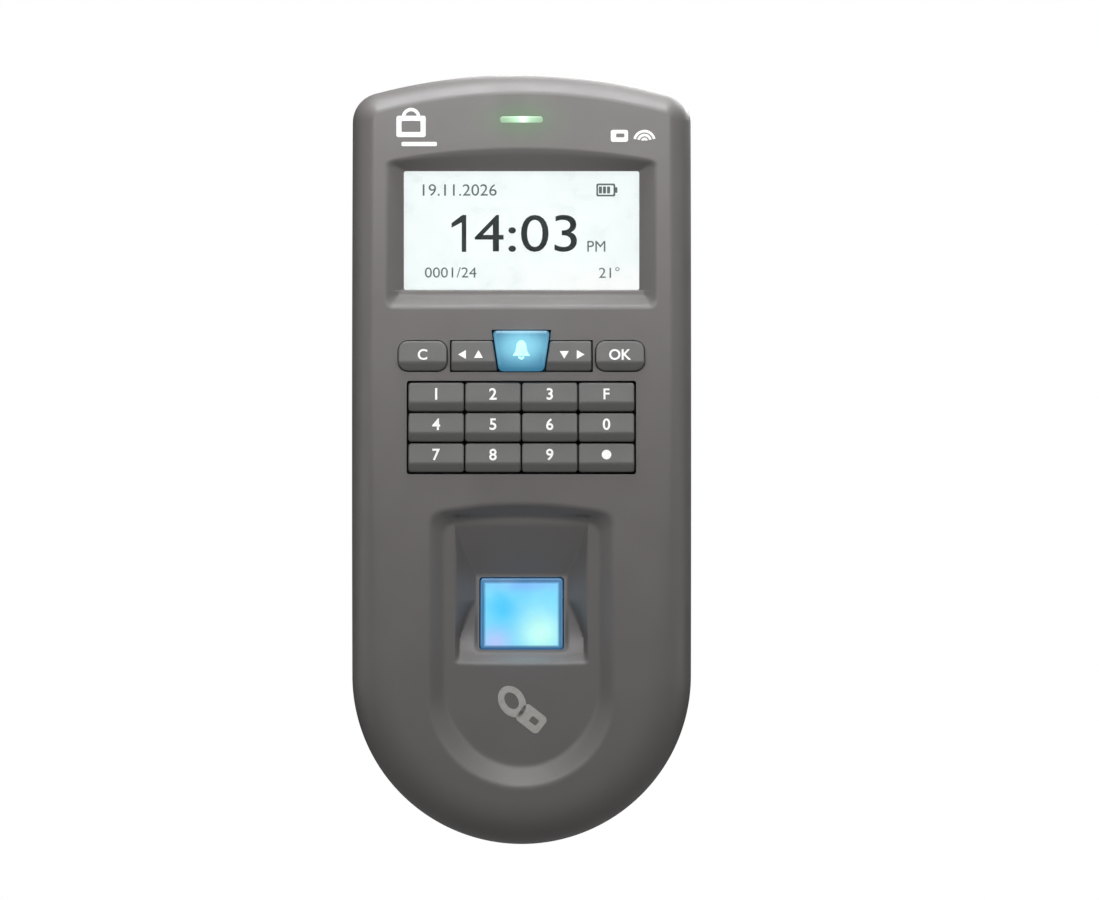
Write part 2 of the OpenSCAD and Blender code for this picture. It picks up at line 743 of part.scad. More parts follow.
module network_socket() {
    color([0.72, 0.73, 0.75]) difference() {
        slab(5.5, board_back) box2(-23, -7, 16, 37);
        slab(7.6, 15.6) box2(-20.9, -9.1, 15, 30);
    }
}

module usb_socket() {
    color([0.72, 0.73, 0.75]) difference() {
        slab(15, board_back) box2(-3.9, 3.8, 2, 11);
        slab(15.5, 18.5) box2(-3.4, 3.3, 1, 9);
    }
}

module door_relay() {
    color([0.1, 0.25, 0.6]) slab(6, board_back) rounded_box(15.2, 3.6, 15, 18.4, 0.6);
}

module speaker() {
    color([0.1, 0.1, 0.1]) difference() {
        slab(rear_wall_front, 8.6) at(0, speaker_z) circle(10.2);
        slab(7.4, 9) at(0, speaker_z) circle(8.4);
    }
}

// ---- Tamper switch ----

collar_front = 7.4;
tamper_tip = 14;

module tamper_plunger() {
    color([0.85, 0.85, 0.83]) translate([tamper_at[0], 0, tamper_at[1]]) {
        slab(plate_t + 0.1, tamper_tip) circle(tamper_r);
        slab(6.2, collar_front) circle(3.2);
    }
}

module tamper_switch() {
    color([0.15, 0.15, 0.16]) translate([tamper_at[0], 0, tamper_at[1]])
        slab(tamper_tip + 1.1, board_back) square(3, center = true);
}

// A helical spring between the plunger's collar and the board
module tamper_spring() {
    mean_r = 2.65;
    wire_r = 0.25;
    turns = 5;
    per_turn = 14;
    sides = 6;
    start = collar_front + wire_r;
    rise = board_back - wire_r - start;
    count = turns * per_turn;
    function middle(i) = let (a = 360 * i / per_turn)
        [mean_r * cos(a), -(start + rise * i / count), mean_r * sin(a)];
    points = [for (i = [0 : count], k = [0 : sides - 1])
        let (a = 360 * i / per_turn, b = 360 * k / sides)
        middle(i) + wire_r * (cos(b) * [cos(a), 0, sin(a)] + sin(b) * [0, -1, 0])];
    walls = [for (i = [0 : count - 1], k = [0 : sides - 1])
        let (j = (k + 1) % sides, a = i * sides + k, b = i * sides + j)
        each [[a, b, b + sides], [a, b + sides, a + sides]]];
    ends = [[for (k = [sides - 1 : -1 : 0]) k], [for (k = [0 : sides - 1]) count * sides + k]];
    color([0.6, 0.6, 0.62]) translate([tamper_at[0], 0, tamper_at[1]])
        polyhedron(points = points, faces = concat(walls, ends));
}

// ---- Every node by name ----

front_cover();
rear_cover();
case_seal();
case_screws();
wall_plate();
retaining_screw();
display_window();
lcd_panel();
lcd_frame();
lcd_backlight();
display_ribbon();
light_pipe();
status_led();
keypad_mat();
keypad_board();
key_contacts();
bell_leds();
keypad_ribbon();
number_key(0, 0);  // key_1
number_key(1, 0);  // key_2
number_key(2, 0);  // key_3
number_key(3, 0);  // key_function
number_key(0, 1);  // key_4
number_key(1, 1);  // key_5
number_key(2, 1);  // key_6
number_key(3, 1);  // key_0
number_key(0, 2);  // key_7
number_key(1, 2);  // key_8
number_key(2, 2);  // key_9
number_key(3, 2);  // key_dot
end_key_cap(-1);  // key_clear
side_key_cap(-1);  // key_left
bell_cap();  // key_bell
side_key_cap(1);  // key_right
end_key_cap(1);  // key_ok
sensor_glass();
sensor_gasket();
sensor_housing();
sensor_camera();
sensor_leds();
sensor_board();
sensor_ribbon();
small_screws();
antenna_coil();
antenna_board();
main_board();
board_screws();
board_chips();
ribbon_sockets();
capacitors();
backup_battery();
battery_holder();
terminal_blocks();
network_socket();
usb_socket();
door_relay();
speaker();
tamper_plunger();
tamper_spring();
tamper_switch();
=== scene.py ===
import json
import math

import bmesh
import bpy
import numpy as np
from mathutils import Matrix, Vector


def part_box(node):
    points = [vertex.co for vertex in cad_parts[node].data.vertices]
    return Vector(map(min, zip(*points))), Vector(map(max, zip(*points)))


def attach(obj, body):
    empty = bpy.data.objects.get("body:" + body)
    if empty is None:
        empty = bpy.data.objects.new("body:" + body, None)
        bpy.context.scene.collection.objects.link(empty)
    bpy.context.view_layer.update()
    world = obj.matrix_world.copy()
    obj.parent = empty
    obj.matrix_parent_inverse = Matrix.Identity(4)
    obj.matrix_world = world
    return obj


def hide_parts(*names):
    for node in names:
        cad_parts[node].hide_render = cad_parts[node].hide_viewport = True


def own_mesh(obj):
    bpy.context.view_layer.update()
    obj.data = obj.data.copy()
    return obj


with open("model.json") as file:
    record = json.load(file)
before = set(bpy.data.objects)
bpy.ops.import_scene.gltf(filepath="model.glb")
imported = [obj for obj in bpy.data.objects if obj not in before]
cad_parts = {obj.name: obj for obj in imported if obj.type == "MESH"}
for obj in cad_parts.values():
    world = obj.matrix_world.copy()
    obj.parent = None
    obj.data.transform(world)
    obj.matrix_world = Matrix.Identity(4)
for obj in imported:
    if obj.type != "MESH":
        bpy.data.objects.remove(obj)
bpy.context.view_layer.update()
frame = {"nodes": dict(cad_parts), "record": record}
nodes = frame["nodes"]
slotOf = {part["node"]: part["material_slot"] for part in frame["record"]["subparts"]}
bodyOf = {node: body for body, members in frame["record"]["behaviour"]["bodies"].items() for node in members}
weld = 0.000002  # metres: points closer than this are one point
print("frame loaded:", len(nodes), "nodes")


# Shapes are worked out in millimetres, as x, depth in front of the wall, and z.
# A solid is a pair: its points, and arrays of faces, one face a row.

def rowPoints(x, depth, z):  # x, minus the depth, z, over a thousand: the row frame's metres
    x, depth, z = np.broadcast_arrays(x, depth, z)
    return np.stack([x, -np.asarray(depth, float), z], -1).reshape(-1, 3) * 0.001


def gridQuads(rows, cols, start=0, flip=False):  # the four corners of every cell of a grid of points
    i, j = np.meshgrid(np.arange(rows - 1), np.arange(cols - 1), indexing="ij")
    a = (start + i * cols + j).ravel()
    quads = np.stack([a, a + 1, a + cols + 1, a + cols], 1)
    return quads[:, ::-1] if flip else quads


def ringQuads(a, b):  # a band of cells between two closed loops of point numbers
    return np.stack([a, np.roll(a, -1), np.roll(b, -1), b], 1)


def stackFaces(levels, n):  # bands between loops of n points stacked back to front, with a lid at each end
    index = np.arange(levels * n).reshape(levels, n)
    bands = [ringQuads(index[k], index[k + 1]) for k in range(levels - 1)]
    return bands + [index[-1][None, :], index[0][None, ::-1]]


def edgeLoop(rows, cols):  # point numbers round a grid's edge, anticlockwise as seen from the front
    n = np.arange(rows * cols).reshape(rows, cols)
    return np.concatenate([n[0, :-1], n[:-1, -1], n[-1, :0:-1], n[:0:-1, 0]])


def newMesh(name, points, faces):
    mesh = bpy.data.meshes.new(name)
    faces = [np.asarray(f) for f in faces]
    loops = np.concatenate([f.ravel() for f in faces]).astype(np.int32)
    sizes = np.concatenate([np.full(len(f), f.shape[1]) for f in faces]).astype(np.int32)
    starts = np.concatenate([[0], np.cumsum(sizes)[:-1]]).astype(np.int32)
    mesh.vertices.add(len(points))
    mesh.vertices.foreach_set("co", np.asarray(points, np.float32).ravel())
    mesh.loops.add(len(loops))
    mesh.loops.foreach_set("vertex_index", loops)
    mesh.polygons.add(len(sizes))
    mesh.polygons.foreach_set("loop_start", starts)
    mesh.polygons.foreach_set("loop_total", sizes)
    mesh.update(calc_edges=True)
    return mesh


# merges points that coincide; flat degrees also makes whole the faces that lie so close to flat
def cleanMesh(mesh, flat=None):
    work = bmesh.new()
    work.from_mesh(mesh)
    bmesh.ops.remove_doubles(work, verts=work.verts, dist=weld)
    if flat:
        bmesh.ops.dissolve_limit(work, angle_limit=math.radians(flat), verts=work.verts, edges=work.edges)
    else:
        bmesh.ops.dissolve_degenerate(work, edges=work.edges, dist=weld / 2)
    work.to_mesh(mesh)
    work.free()


def smoothMesh(mesh, angle):
    mesh.polygons.foreach_set("use_smooth", np.ones(len(mesh.polygons), bool))
    mesh.set_sharp_from_angle(angle=math.radians(angle))
    mesh.update()


def joinSolids(*solids):  # several solids become one
    points, faces, start = [], [], 0
    for p, fs in solids:
        points.append(p)
        faces += [np.asarray(f) + start for f in fs]
        start += len(p)
    return np.concatenate(points), faces


def addObject(name, data):
    made = bpy.data.objects.new(name, data)
    bpy.context.scene.collection.objects.link(made)
    return made


def finishedMesh(thing):  # an object with its modifiers, as a mesh of its own
    bpy.context.view_layer.update()
    return bpy.data.meshes.new_from_object(thing.evaluated_get(bpy.context.evaluated_depsgraph_get()))


# gives a piece its material and the body of a CAD node, and hides the node when the piece stands in for it
def dress(piece, material, node, stands=True):
    piece.data.materials.clear()
    piece.data.materials.append(material)
    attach(piece, bodyOf[node])
    if stands:
        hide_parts(node)
    return piece


def newPiece(name, solid, material, node, stands=True, angle=32):
    mesh = newMesh(name, *solid)
    cleanMesh(mesh)
    smoothMesh(mesh, angle)
    return dress(addObject(name, mesh), material, node, stands)


def addBevel(piece, width, angle):
    bevel = piece.modifiers.new("softEdges", "BEVEL")
    bevel.width = width * 0.001
    bevel.segments = 2
    bevel.limit_method = "ANGLE"
    bevel.angle_limit = math.radians(angle)
    bevel.harden_normals = True
    bevel.use_clamp_overlap = True


def padSolid(x, z, front, back):  # a closed solid between a front and a back depth over one grid of x, z
    rows, cols = x.shape
    count = rows * cols
    points = np.concatenate([rowPoints(x, front, z), rowPoints(x, back, z)])
    loop = edgeLoop(rows, cols)
    return points, [gridQuads(rows, cols), gridQuads(rows, cols, count, True), ringQuads(loop + count, loop)]


# an outline, anticlockwise from the front, carried from one depth to another
def prismSolid(outline, back, front):
    outline = np.asarray(outline, float)
    points = np.concatenate([rowPoints(outline[:, 0], depth, outline[:, 1]) for depth in (back, front)])
    return points, stackFaces(2, len(outline))


def lathedSolid(profile, centre, sides):  # a [radius, depth] profile turned about an axis through [x, z]
    profile = np.asarray(profile, float)
    turn = np.linspace(0, 2 * np.pi, sides, endpoint=False)
    x = centre[0] + profile[:, :1] * np.cos(turn)
    z = centre[1] + profile[:, :1] * np.sin(turn)
    return rowPoints(x, profile[:, 1:2], z), stackFaces(len(profile), sides)


def steps(*stretches):  # (from, to, step) stretches, end to end, as one rising array
    parts = [np.linspace(a, b, max(2, int(round(abs(b - a) / s)) + 1))[:-1] for a, b, s in stretches]
    return np.concatenate(parts + [[stretches[-1][1]]])


# the smaller of two heights, less blend * t * (1 - t) where t passes from one to the other
def lesser(a, b, blend):
    t = np.clip(0.5 + 0.5 * (b - a) / blend, 0, 1)
    return b + (a - b) * t - blend * t * (1 - t)


def greater(a, b, blend):  # the larger of two heights: lesser, upside down
    return -lesser(-a, -b, blend)


def ramp(value, start, end):  # t * t * (3 - 2 t), where t runs from 0 at start to 1 at end
    t = np.clip((value - start) / (end - start), 0, 1)
    return t * t * (3 - 2 * t)


def within(x, z, reach):  # true inside a box: half width, lowest z, highest z
    half, low, high = reach
    return (np.abs(x) < half) & (z > low) & (z < high)


# takes closed solids out of a piece, or joins them to it, one by one
def cutAway(piece, solids, operation="DIFFERENCE"):
    for solid in solids:
        toolMesh = newMesh("tool", *solid)
        cleanMesh(toolMesh)
        tool = addObject("tool", toolMesh)
        cut = piece.modifiers.new("cut", "BOOLEAN")
        cut.operation, cut.solver, cut.object = operation, "EXACT", tool
        done = finishedMesh(piece)
        piece.modifiers.clear()
        old, piece.data = piece.data, done
        done.name = piece.name
        bpy.data.meshes.remove(old)
        bpy.data.objects.remove(tool)
        bpy.data.meshes.remove(toolMesh)


# each value is another node's output, which is linked, or a constant, which is set
def feed(tree, node, values):
    for key, value in values.items():
        if isinstance(value, bpy.types.NodeSocket):
            tree.links.new(value, node.inputs[key])
        else:
            node.inputs[key].default_value = value


def addNode(tree, kind, values=None, **settings):
    node = tree.nodes.new("ShaderNode" + kind)
    for key, value in settings.items():
        setattr(node, key, value)
    feed(tree, node, values or {})
    return node


def mathNode(tree, operation, a, b=None, clamp=False):
    values = {0: a} if b is None else {0: a, 1: b}
    return addNode(tree, "Math", values, operation=operation, use_clamp=clamp).outputs[0]


def vectorNode(tree, operation, a, b):
    return addNode(tree, "VectorMath", {0: a, 1: b}, operation=operation).outputs[0]


def mixColour(tree, factor, a, b, blend="MIX"):
    return addNode(tree, "Mix", {0: factor, 6: a, 7: b}, data_type="RGBA", blend_type=blend).outputs[2]


def mapRange(tree, value, low, high, outLow, outHigh):
    values = {"Value": value, "From Min": low, "From Max": high, "To Min": outLow, "To Max": outHigh}
    return addNode(tree, "MapRange", values).outputs["Result"]


def objectPlace(tree):
    return addNode(tree, "TexCoord").outputs["Object"]


def noise(tree, **values):  # noise in the row frame, so that it stays put on the piece
    return addNode(tree, "TexNoise", {"Vector": objectPlace(tree), **values}).outputs["Fac"]


def toned(tree, colour, value):  # a colour made lighter or darker by a varying value
    return addNode(tree, "HueSaturation", {"Color": colour, "Value": value}).outputs["Color"]


def bumped(tree, height, strength, distance):
    return addNode(tree, "Bump", {"Height": height, "Strength": strength, "Distance": distance}).outputs["Normal"]


def colour4(c):
    return (c[0], c[1], c[2], 1.0)


def mouldedGrain(tree, given):  # a spark-eroded texture: fine cells for bump, a slow cloud for tone and gloss
    fine = noise(tree, Scale=given["Scale"], Detail=3.0, Roughness=0.6)
    cellScale = mathNode(tree, "MULTIPLY", given["Scale"], 0.7)
    cells = addNode(tree, "TexVoronoi", {"Vector": objectPlace(tree), "Scale": cellScale}).outputs["Distance"]
    cloud = noise(tree, Scale=55.0, Detail=4.0, Roughness=0.55)
    height = mathNode(tree, "ADD", mathNode(tree, "MULTIPLY", fine, 0.6), mathNode(tree, "MULTIPLY", cells, 0.5))
    swing = mathNode(tree, "MULTIPLY", mathNode(tree, "SUBTRACT", cloud, 0.5), given["Tone"])
    speck = mathNode(tree, "MULTIPLY", mathNode(tree, "SUBTRACT", fine, 0.5), given["Tone"])
    return {"Height": height, "Tone": mathNode(tree, "ADD", mathNode(tree, "ADD", swing, speck), 1.0),
            "Rough": mapRange(tree, cloud, 0.3, 0.7, -0.05, 0.06)}


def maskOf(tree, a, b, amount):  # two patterns and an amount, multiplied and kept under 1
    return {"Mask": mathNode(tree, "MULTIPLY", mathNode(tree, "MULTIPLY", a, b), amount, True)}


def edgeWear(tree, given):  # where an edge stands out, broken up by noise
    edge = mapRange(tree, addNode(tree, "NewGeometry").outputs["Pointiness"], 0.515, 0.60, 0.0, 1.0)
    patches = noise(tree, Scale=given["Patch Scale"], Detail=5.0, Roughness=0.65)
    return maskOf(tree, edge, mapRange(tree, patches, 0.42, 0.68, 0.15, 1.0), given["Amount"])


def settledDust(tree, given):  # a thin film, thicker where the surface faces up and in slow patches
    facing = addNode(tree, "SeparateXYZ", {0: addNode(tree, "NewGeometry").outputs["Normal"]}).outputs["Z"]
    patches = noise(tree, Scale=given["Patch Scale"], Detail=6.0, Roughness=0.6)
    up = mapRange(tree, facing, -0.1, 0.9, 0.25, 1.0)
    return maskOf(tree, up, mapRange(tree, patches, 0.35, 0.7, 0.1, 1.0), given["Amount"])


def handMarks(tree, given):  # faint smears that change only the gloss
    smear = noise(tree, Scale=given["Scale"], Detail=3.0, Roughness=0.5, Distortion=1.6)
    return {"Rough": mathNode(tree, "MULTIPLY", mapRange(tree, smear, 0.48, 0.72, 0.0, 1.0), given["Amount"])}


# exp(-2.2 d squared), where d is the distance from a point over a reach in each direction
def nearPoint(tree, given):
    shift = vectorNode(tree, "SUBTRACT", objectPlace(tree), given["Centre"])
    scaled = vectorNode(tree, "DIVIDE", shift, given["Reach"])
    length = addNode(tree, "VectorMath", {0: scaled}, operation="LENGTH").outputs["Value"]
    square = mathNode(tree, "POWER", length, 2.0)
    return {"Mask": mathNode(tree, "EXPONENT", mathNode(tree, "MULTIPLY", square, -2.2))}


def nodeGroup(build, inputs):  # a group named after its builder, which turns the given inputs into outputs
    group = bpy.data.node_groups.new(build.__name__, "ShaderNodeTree")
    for label, value in inputs.items():
        kind = "NodeSocketVector" if isinstance(value, tuple) else "NodeSocketFloat"
        group.interface.new_socket(label, in_out="INPUT", socket_type=kind).default_value = value
    outputs = build(group, group.nodes.new("NodeGroupInput").outputs)
    for label in outputs:
        group.interface.new_socket(label, in_out="OUTPUT", socket_type="NodeSocketFloat")
    feed(group, group.nodes.new("NodeGroupOutput"), outputs)
    return group


groups = {
    "mouldedGrain": nodeGroup(mouldedGrain, {"Scale": 4200.0, "Tone": 0.08}),
    "edgeWear": nodeGroup(edgeWear, {"Amount": 0.4, "Patch Scale": 220.0}),
    "settledDust": nodeGroup(settledDust, {"Amount": 0.15, "Patch Scale": 90.0}),
    "handMarks": nodeGroup(handMarks, {"Amount": 0.12, "Scale": 60.0}),
    "nearPoint": nodeGroup(nearPoint, {"Centre": (0, 0, 0), "Reach": (0.01, 0.01, 0.01)}),
}


def placeGroup(tree, name, **values):
    node = tree.nodes.new("ShaderNodeGroup")
    node.node_tree = groups[name]
    feed(tree, node, values)
    return node.outputs


def newMaterial(name, **constants):
    material = bpy.data.materials.new(name)
    material.use_nodes = True
    shader = material.node_tree.nodes["Principled BSDF"]
    for key, value in constants.items():
        shader.inputs[key.replace("_", " ")].default_value = value
    return material, material.node_tree, shader


def mouldedPlastic(name, look):  # grained plastic with tone, worn edges, dust and gloss marks
    material, tree, shader = newMaterial(name, IOR=1.5, Coat_Roughness=0.2)
    grain = placeGroup(tree, "mouldedGrain", Scale=look["grain"], Tone=look["tone"])
    wear = placeGroup(tree, "edgeWear", Amount=look["wear"])["Mask"]
    dust = placeGroup(tree, "settledDust", Amount=look["dust"])["Mask"]
    marks = placeGroup(tree, "handMarks", Amount=look["marks"])["Rough"]
    wornColour = colour4([min(1, c * 1.5 + 0.04) for c in look["colour"]])
    worn = mixColour(tree, wear, toned(tree, colour4(look["colour"]), grain["Tone"]), wornColour)
    rough = mathNode(tree, "SUBTRACT", mathNode(tree, "ADD", grain["Rough"], look["rough"]), marks)
    feed(tree, shader, {
        "Base Color": mixColour(tree, dust, worn, (0.55, 0.53, 0.50, 1)),
        "Roughness": mathNode(tree, "SUBTRACT", rough, mathNode(tree, "MULTIPLY", wear, 0.15), True),
        "Normal": bumped(tree, grain["Height"], look["bump"], 0.00006),
    })
    return material, tree, shader


def simplePlastic(name, colour, rough, **more):
    look = {"colour": colour, "rough": rough, "grain": 4800.0, "tone": 0.08, "wear": 0.25, "dust": 0.12,
            "marks": 0.06, "bump": 0.15, **more}
    return mouldedPlastic(name, look)[0]


def plainMetal(name, colour, rough, stretch=(1, 1, 1), spangle=180.0, spangleTone=0.0, spangleRough=0.0):
    # streaked metal, with crystal patches if it is galvanised
    material, tree, shader = newMaterial(name, Metallic=1.0)
    place = addNode(tree, "Mapping", {"Vector": objectPlace(tree), "Scale": stretch}).outputs["Vector"]
    streaks = addNode(tree, "TexNoise", {"Vector": place, "Scale": 900.0, "Detail": 4.0, "Roughness": 0.6})
    streak = streaks.outputs["Fac"]
    crystals = addNode(tree, "TexVoronoi", {"Vector": objectPlace(tree), "Scale": spangle}).outputs["Color"]
    crystal = addNode(tree, "SeparateColor", {0: crystals}).outputs
    wear = placeGroup(tree, "edgeWear", Amount=0.4)["Mask"]
    dust = placeGroup(tree, "settledDust", Amount=0.1)["Mask"]
    tone = mathNode(tree, "ADD", mapRange(tree, streak, 0.2, 0.8, 0.88, 1.08),
                    mapRange(tree, crystal[0], 0.0, 1.0, -spangleTone, spangleTone))
    brightColour = colour4([min(1, c * 1.25) for c in colour])
    bright = mixColour(tree, wear, toned(tree, colour4(colour), tone), brightColour)
    gloss = mathNode(tree, "ADD", mapRange(tree, streak, 0.3, 0.7, -0.07, 0.07), rough)
    crystalGloss = mapRange(tree, crystal[1], 0.0, 1.0, -spangleRough, spangleRough)
    feed(tree, shader, {
        "Base Color": mixColour(tree, dust, bright, (0.4, 0.38, 0.35, 1)),
        "Roughness": mathNode(tree, "ADD", gloss, crystalGloss, True),
        "Normal": bumped(tree, streak, 0.15, 0.00003),
    })
    return material


def printedInk(name, colour, rough, glow=0.0):  # a screen-printed mark: slightly uneven, slightly rubbed
    material, tree, shader = newMaterial(name, Emission_Strength=glow)
    rub = noise(tree, Scale=900.0, Detail=4.0)
    uneven = toned(tree, colour4(colour), mapRange(tree, rub, 0.3, 0.7, 0.86, 1.04))
    rubbed = mapRange(tree, rub, 0.3, 0.7, rough - 0.06, rough + 0.08)
    feed(tree, shader, {"Base Color": uneven, "Roughness": rubbed})
    if glow:
        feed(tree, shader, {"Emission Color": uneven})
    return material


print("material helpers ready")

frontLow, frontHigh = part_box("front_cover")
caseShape = {
    "halfWidth": frontHigh.x * 1000, "top": frontHigh.z * 1000, "bottom": frontLow.z * 1000,
    "parting": -frontHigh.y * 1000,                # where the front cover begins
    "archRadius": 132.0, "cornerRadius": 7.0,      # arched top edge and its corners
    "faceDepth": 38.0, "crownRadius": 750.0,       # front face seen from the side
    "bandWidth": 5.2, "bandDrop": 9.0,             # sloping band round the face
    # the band melts into the face between these depths below z = 0
    "softBandWidth": 10.5, "softRun": (-25, 40), 
    "wall": 2.2, "faceWall": 1.8,
}
display = {
    "halfWidth": 27.35, "low": 39.4, "high": 67.0, "floor": 31.5, "holeBack": 28.0,
    "sideRun": 3.85, "cornerZ": 68.8, "archRise": 3.05, "archHalf": 31.4, "archDepth": 34.8,
    "stepRise": 9.0, "ledgeRise": 2.0, "ledgeWidth": 1.25, "ledgeLean": 0.12, "lowRise": 1.3,
    "lip": 0.7, "cornerBlend": 3.2, "blendOver": 4.6, "reach": (34, 33, 76),
}
dish = {
    "halfWidth": 21.3, "low": -54.7, "top": -10.2, "archRadius": 100.0, "cornerBlend": 3.0,
    "floorAt": -14.0, "floorDepth": 34.7, "floorSlope": 0.0552,
    "slopeWidth": 3.2, "lowSlopeWidth": 4.5, "lowSlopeRun": (52, 68), "lip": 0.55, "reach": (23, -79, -7),
}
well = {
    "floorHalf": 10.6, "rimHalf": 15.3, "floorTop": -26.9, "floorLow": -45.2,
    "floorTopDepth": 27.6, "floorLowDepth": 31.1, "rimTop": -14.6, "rimLow": -47.4, "lowRise": 0.8,
    # hollows at the lower corners
    "hollowTop": -33.0, "hollowBend": 12.2, "hollowSpread": 4.0, "hollowFlare": 0.6,
    "hollowPower": 0.8, "hollowEdge": (9.9, 11.2), "blend": 0.35, "lip": 0.55, "reach": (16.4, -49, -13),
}

lowCentre = caseShape["bottom"] + caseShape["halfWidth"]
archCentre = caseShape["top"] - caseShape["archRadius"]
cornerX = caseShape["halfWidth"] - caseShape["cornerRadius"]
cornerZ = archCentre + math.sqrt((caseShape["archRadius"] - caseShape["cornerRadius"]) ** 2 - cornerX ** 2)
cornerTurn = math.atan2(cornerZ - archCentre, cornerX)
bandRadius = (caseShape["bandWidth"] ** 2 + caseShape["bandDrop"] ** 2) / (2 * caseShape["bandWidth"])


def crown(z):  # the front face's depth: its greatest depth less z squared over twice the crown's radius
    return caseShape["faceDepth"] - np.asarray(z) ** 2 / (2 * caseShape["crownRadius"])


# how far a point lies inside the outline: from the lower half circle, the sides, the corners or the arch
def edgeInset(x, z):
    lower = caseShape["halfWidth"] - np.hypot(x, z - lowCentre)
    side = caseShape["halfWidth"] - np.abs(x)
    arch = caseShape["archRadius"] - np.hypot(x, z - archCentre)
    corner = caseShape["cornerRadius"] - np.hypot(np.abs(x) - cornerX, z - cornerZ)
    turn = np.arctan2(z - cornerZ, np.abs(x) - cornerX)
    upper = np.where((turn > 0) & (turn < cornerTurn), corner, np.minimum(side, arch))
    return np.where(z < lowCentre, lower, upper)


# how far the band falls back: an arc that ends in a crease above, a quarter ellipse below
def bandFall(inset, z):
    inset = np.maximum(inset, 0)
    along = bandRadius - np.minimum(inset, caseShape["bandWidth"])
    crease = caseShape["bandDrop"] - np.sqrt(np.maximum(bandRadius ** 2 - along ** 2, 0))
    far = 1 - np.minimum(inset / caseShape["softBandWidth"], 1)
    soft = caseShape["bandDrop"] * (1 - np.sqrt(np.maximum(1 - far ** 2, 0)))
    low = ramp(-np.asarray(z), *caseShape["softRun"])
    return crease * (1 - low) + soft * low


# the greatest of the window's level and the slopes that rise from it: two sides, an arched top, a stepped
# foot
def displayFloor(x, z):
    floor, ledgeLevel = display["floor"], display["floor"] + display["ledgeRise"]
    side = floor + (np.abs(x) - display["halfWidth"]) * (crown(z) - floor) / display["sideRun"]
    arch = display["cornerZ"] + display["archRise"] * (1 - (x / display["archHalf"]) ** 2)
    topRise = (display["archDepth"] - floor) / (arch - display["high"])
    top = floor + (z - display["high"]) * topRise
    step = floor + (display["low"] - z) * display["stepRise"]
    ledge = ledgeLevel + (display["low"] - z) * display["ledgeLean"]
    slope = ledgeLevel + (display["low"] - display["ledgeWidth"] - z) * display["lowRise"]
    low = greater(lesser(step, ledge, 0.3), slope, 0.25)
    blend = display["cornerBlend"] * np.clip((side - floor) / display["blendOver"], 0.05, 1)
    rim = greater(side, greater(top, low, 0.4), blend)
    return greater(rim, np.full_like(rim, floor), 0.25)


def dishFloor(z):  # a straight line in z
    return dish["floorDepth"] + (z - dish["floorAt"]) * dish["floorSlope"]


# the greater of the dish's floor and a straight slope down from the face, by the distance from the rim
def dishSurface(x, z):
    lower = dish["halfWidth"] - np.hypot(x, z - dish["low"])
    top = dish["archRadius"] - np.hypot(x, z - (dish["top"] - dish["archRadius"]))
    upper = lesser(dish["halfWidth"] - np.abs(x), top, dish["cornerBlend"])
    inset = np.where(z < dish["low"], lower, upper)
    width = dish["slopeWidth"] + (dish["lowSlopeWidth"] - dish["slopeWidth"]) * ramp(-z, *dish["lowSlopeRun"])
    slope = crown(z) + (dishFloor(z) - crown(z)) * inset / width
    return greater(slope, dishFloor(z) + 0 * x, dish["lip"])


# the greatest of a tilted floor, which sweeps up in a hollow beside the sensor, and four slopes up to the
# dish
def wellSurface(x, z):
    along = (z - well["floorTop"]) / (well["floorLow"] - well["floorTop"])
    floor = well["floorTopDepth"] + (well["floorLowDepth"] - well["floorTopDepth"]) * along
    t = np.clip((well["hollowTop"] - z) / (well["hollowTop"] - well["rimLow"]), 0, 1)
    start = np.interp(well["hollowTop"], [well["floorLow"], well["floorTop"]],
                      [well["floorLowDepth"], well["floorTopDepth"]])
    rise = dishFloor(well["rimLow"]) - start
    hollow = start + rise * t * t * (3 - 2 * t) + (t ** 3 - t * t) * well["hollowBend"]
    floor = np.where(t > 0, floor + (hollow - floor) * ramp(np.abs(x), *well["hollowEdge"]), floor)
    spread = np.clip(t / well["hollowFlare"], 0, 1) ** well["hollowPower"]
    floorHalf = well["floorHalf"] + well["hollowSpread"] * spread
    sideRise = np.maximum(dishFloor(z) - floor, 0.5) / (well["rimHalf"] - floorHalf)
    side = floor + (np.abs(x) - floorHalf) * sideRise
    topRise = (dishFloor(well["rimTop"]) - well["floorTopDepth"]) / (well["rimTop"] - well["floorTop"])
    top = well["floorTopDepth"] + (z - well["floorTop"]) * topRise
    low = well["floorLowDepth"] + (well["floorLow"] - z) * well["lowRise"]
    blend = well["blend"]
    return greater(greater(floor, side, blend), greater(top, low, blend), blend)


# the whole front surface: the crown less the band, lowered in the display recess, the dish and the well
def faceDepth(x, z):
    depth = crown(z) - bandFall(edgeInset(x, z), z)
    recessed = lesser(depth, displayFloor(x, z), display["lip"])
    depth = np.where(within(x, z, display["reach"]), recessed, depth)
    lowered = lesser(depth, dishSurface(x, z), dish["lip"])
    sunk = lesser(lowered, wellSurface(x, z), well["lip"])
    lowered = np.where(within(x, z, well["reach"]), sunk, lowered)
    return np.where(within(x, z, dish["reach"]), lowered, depth)


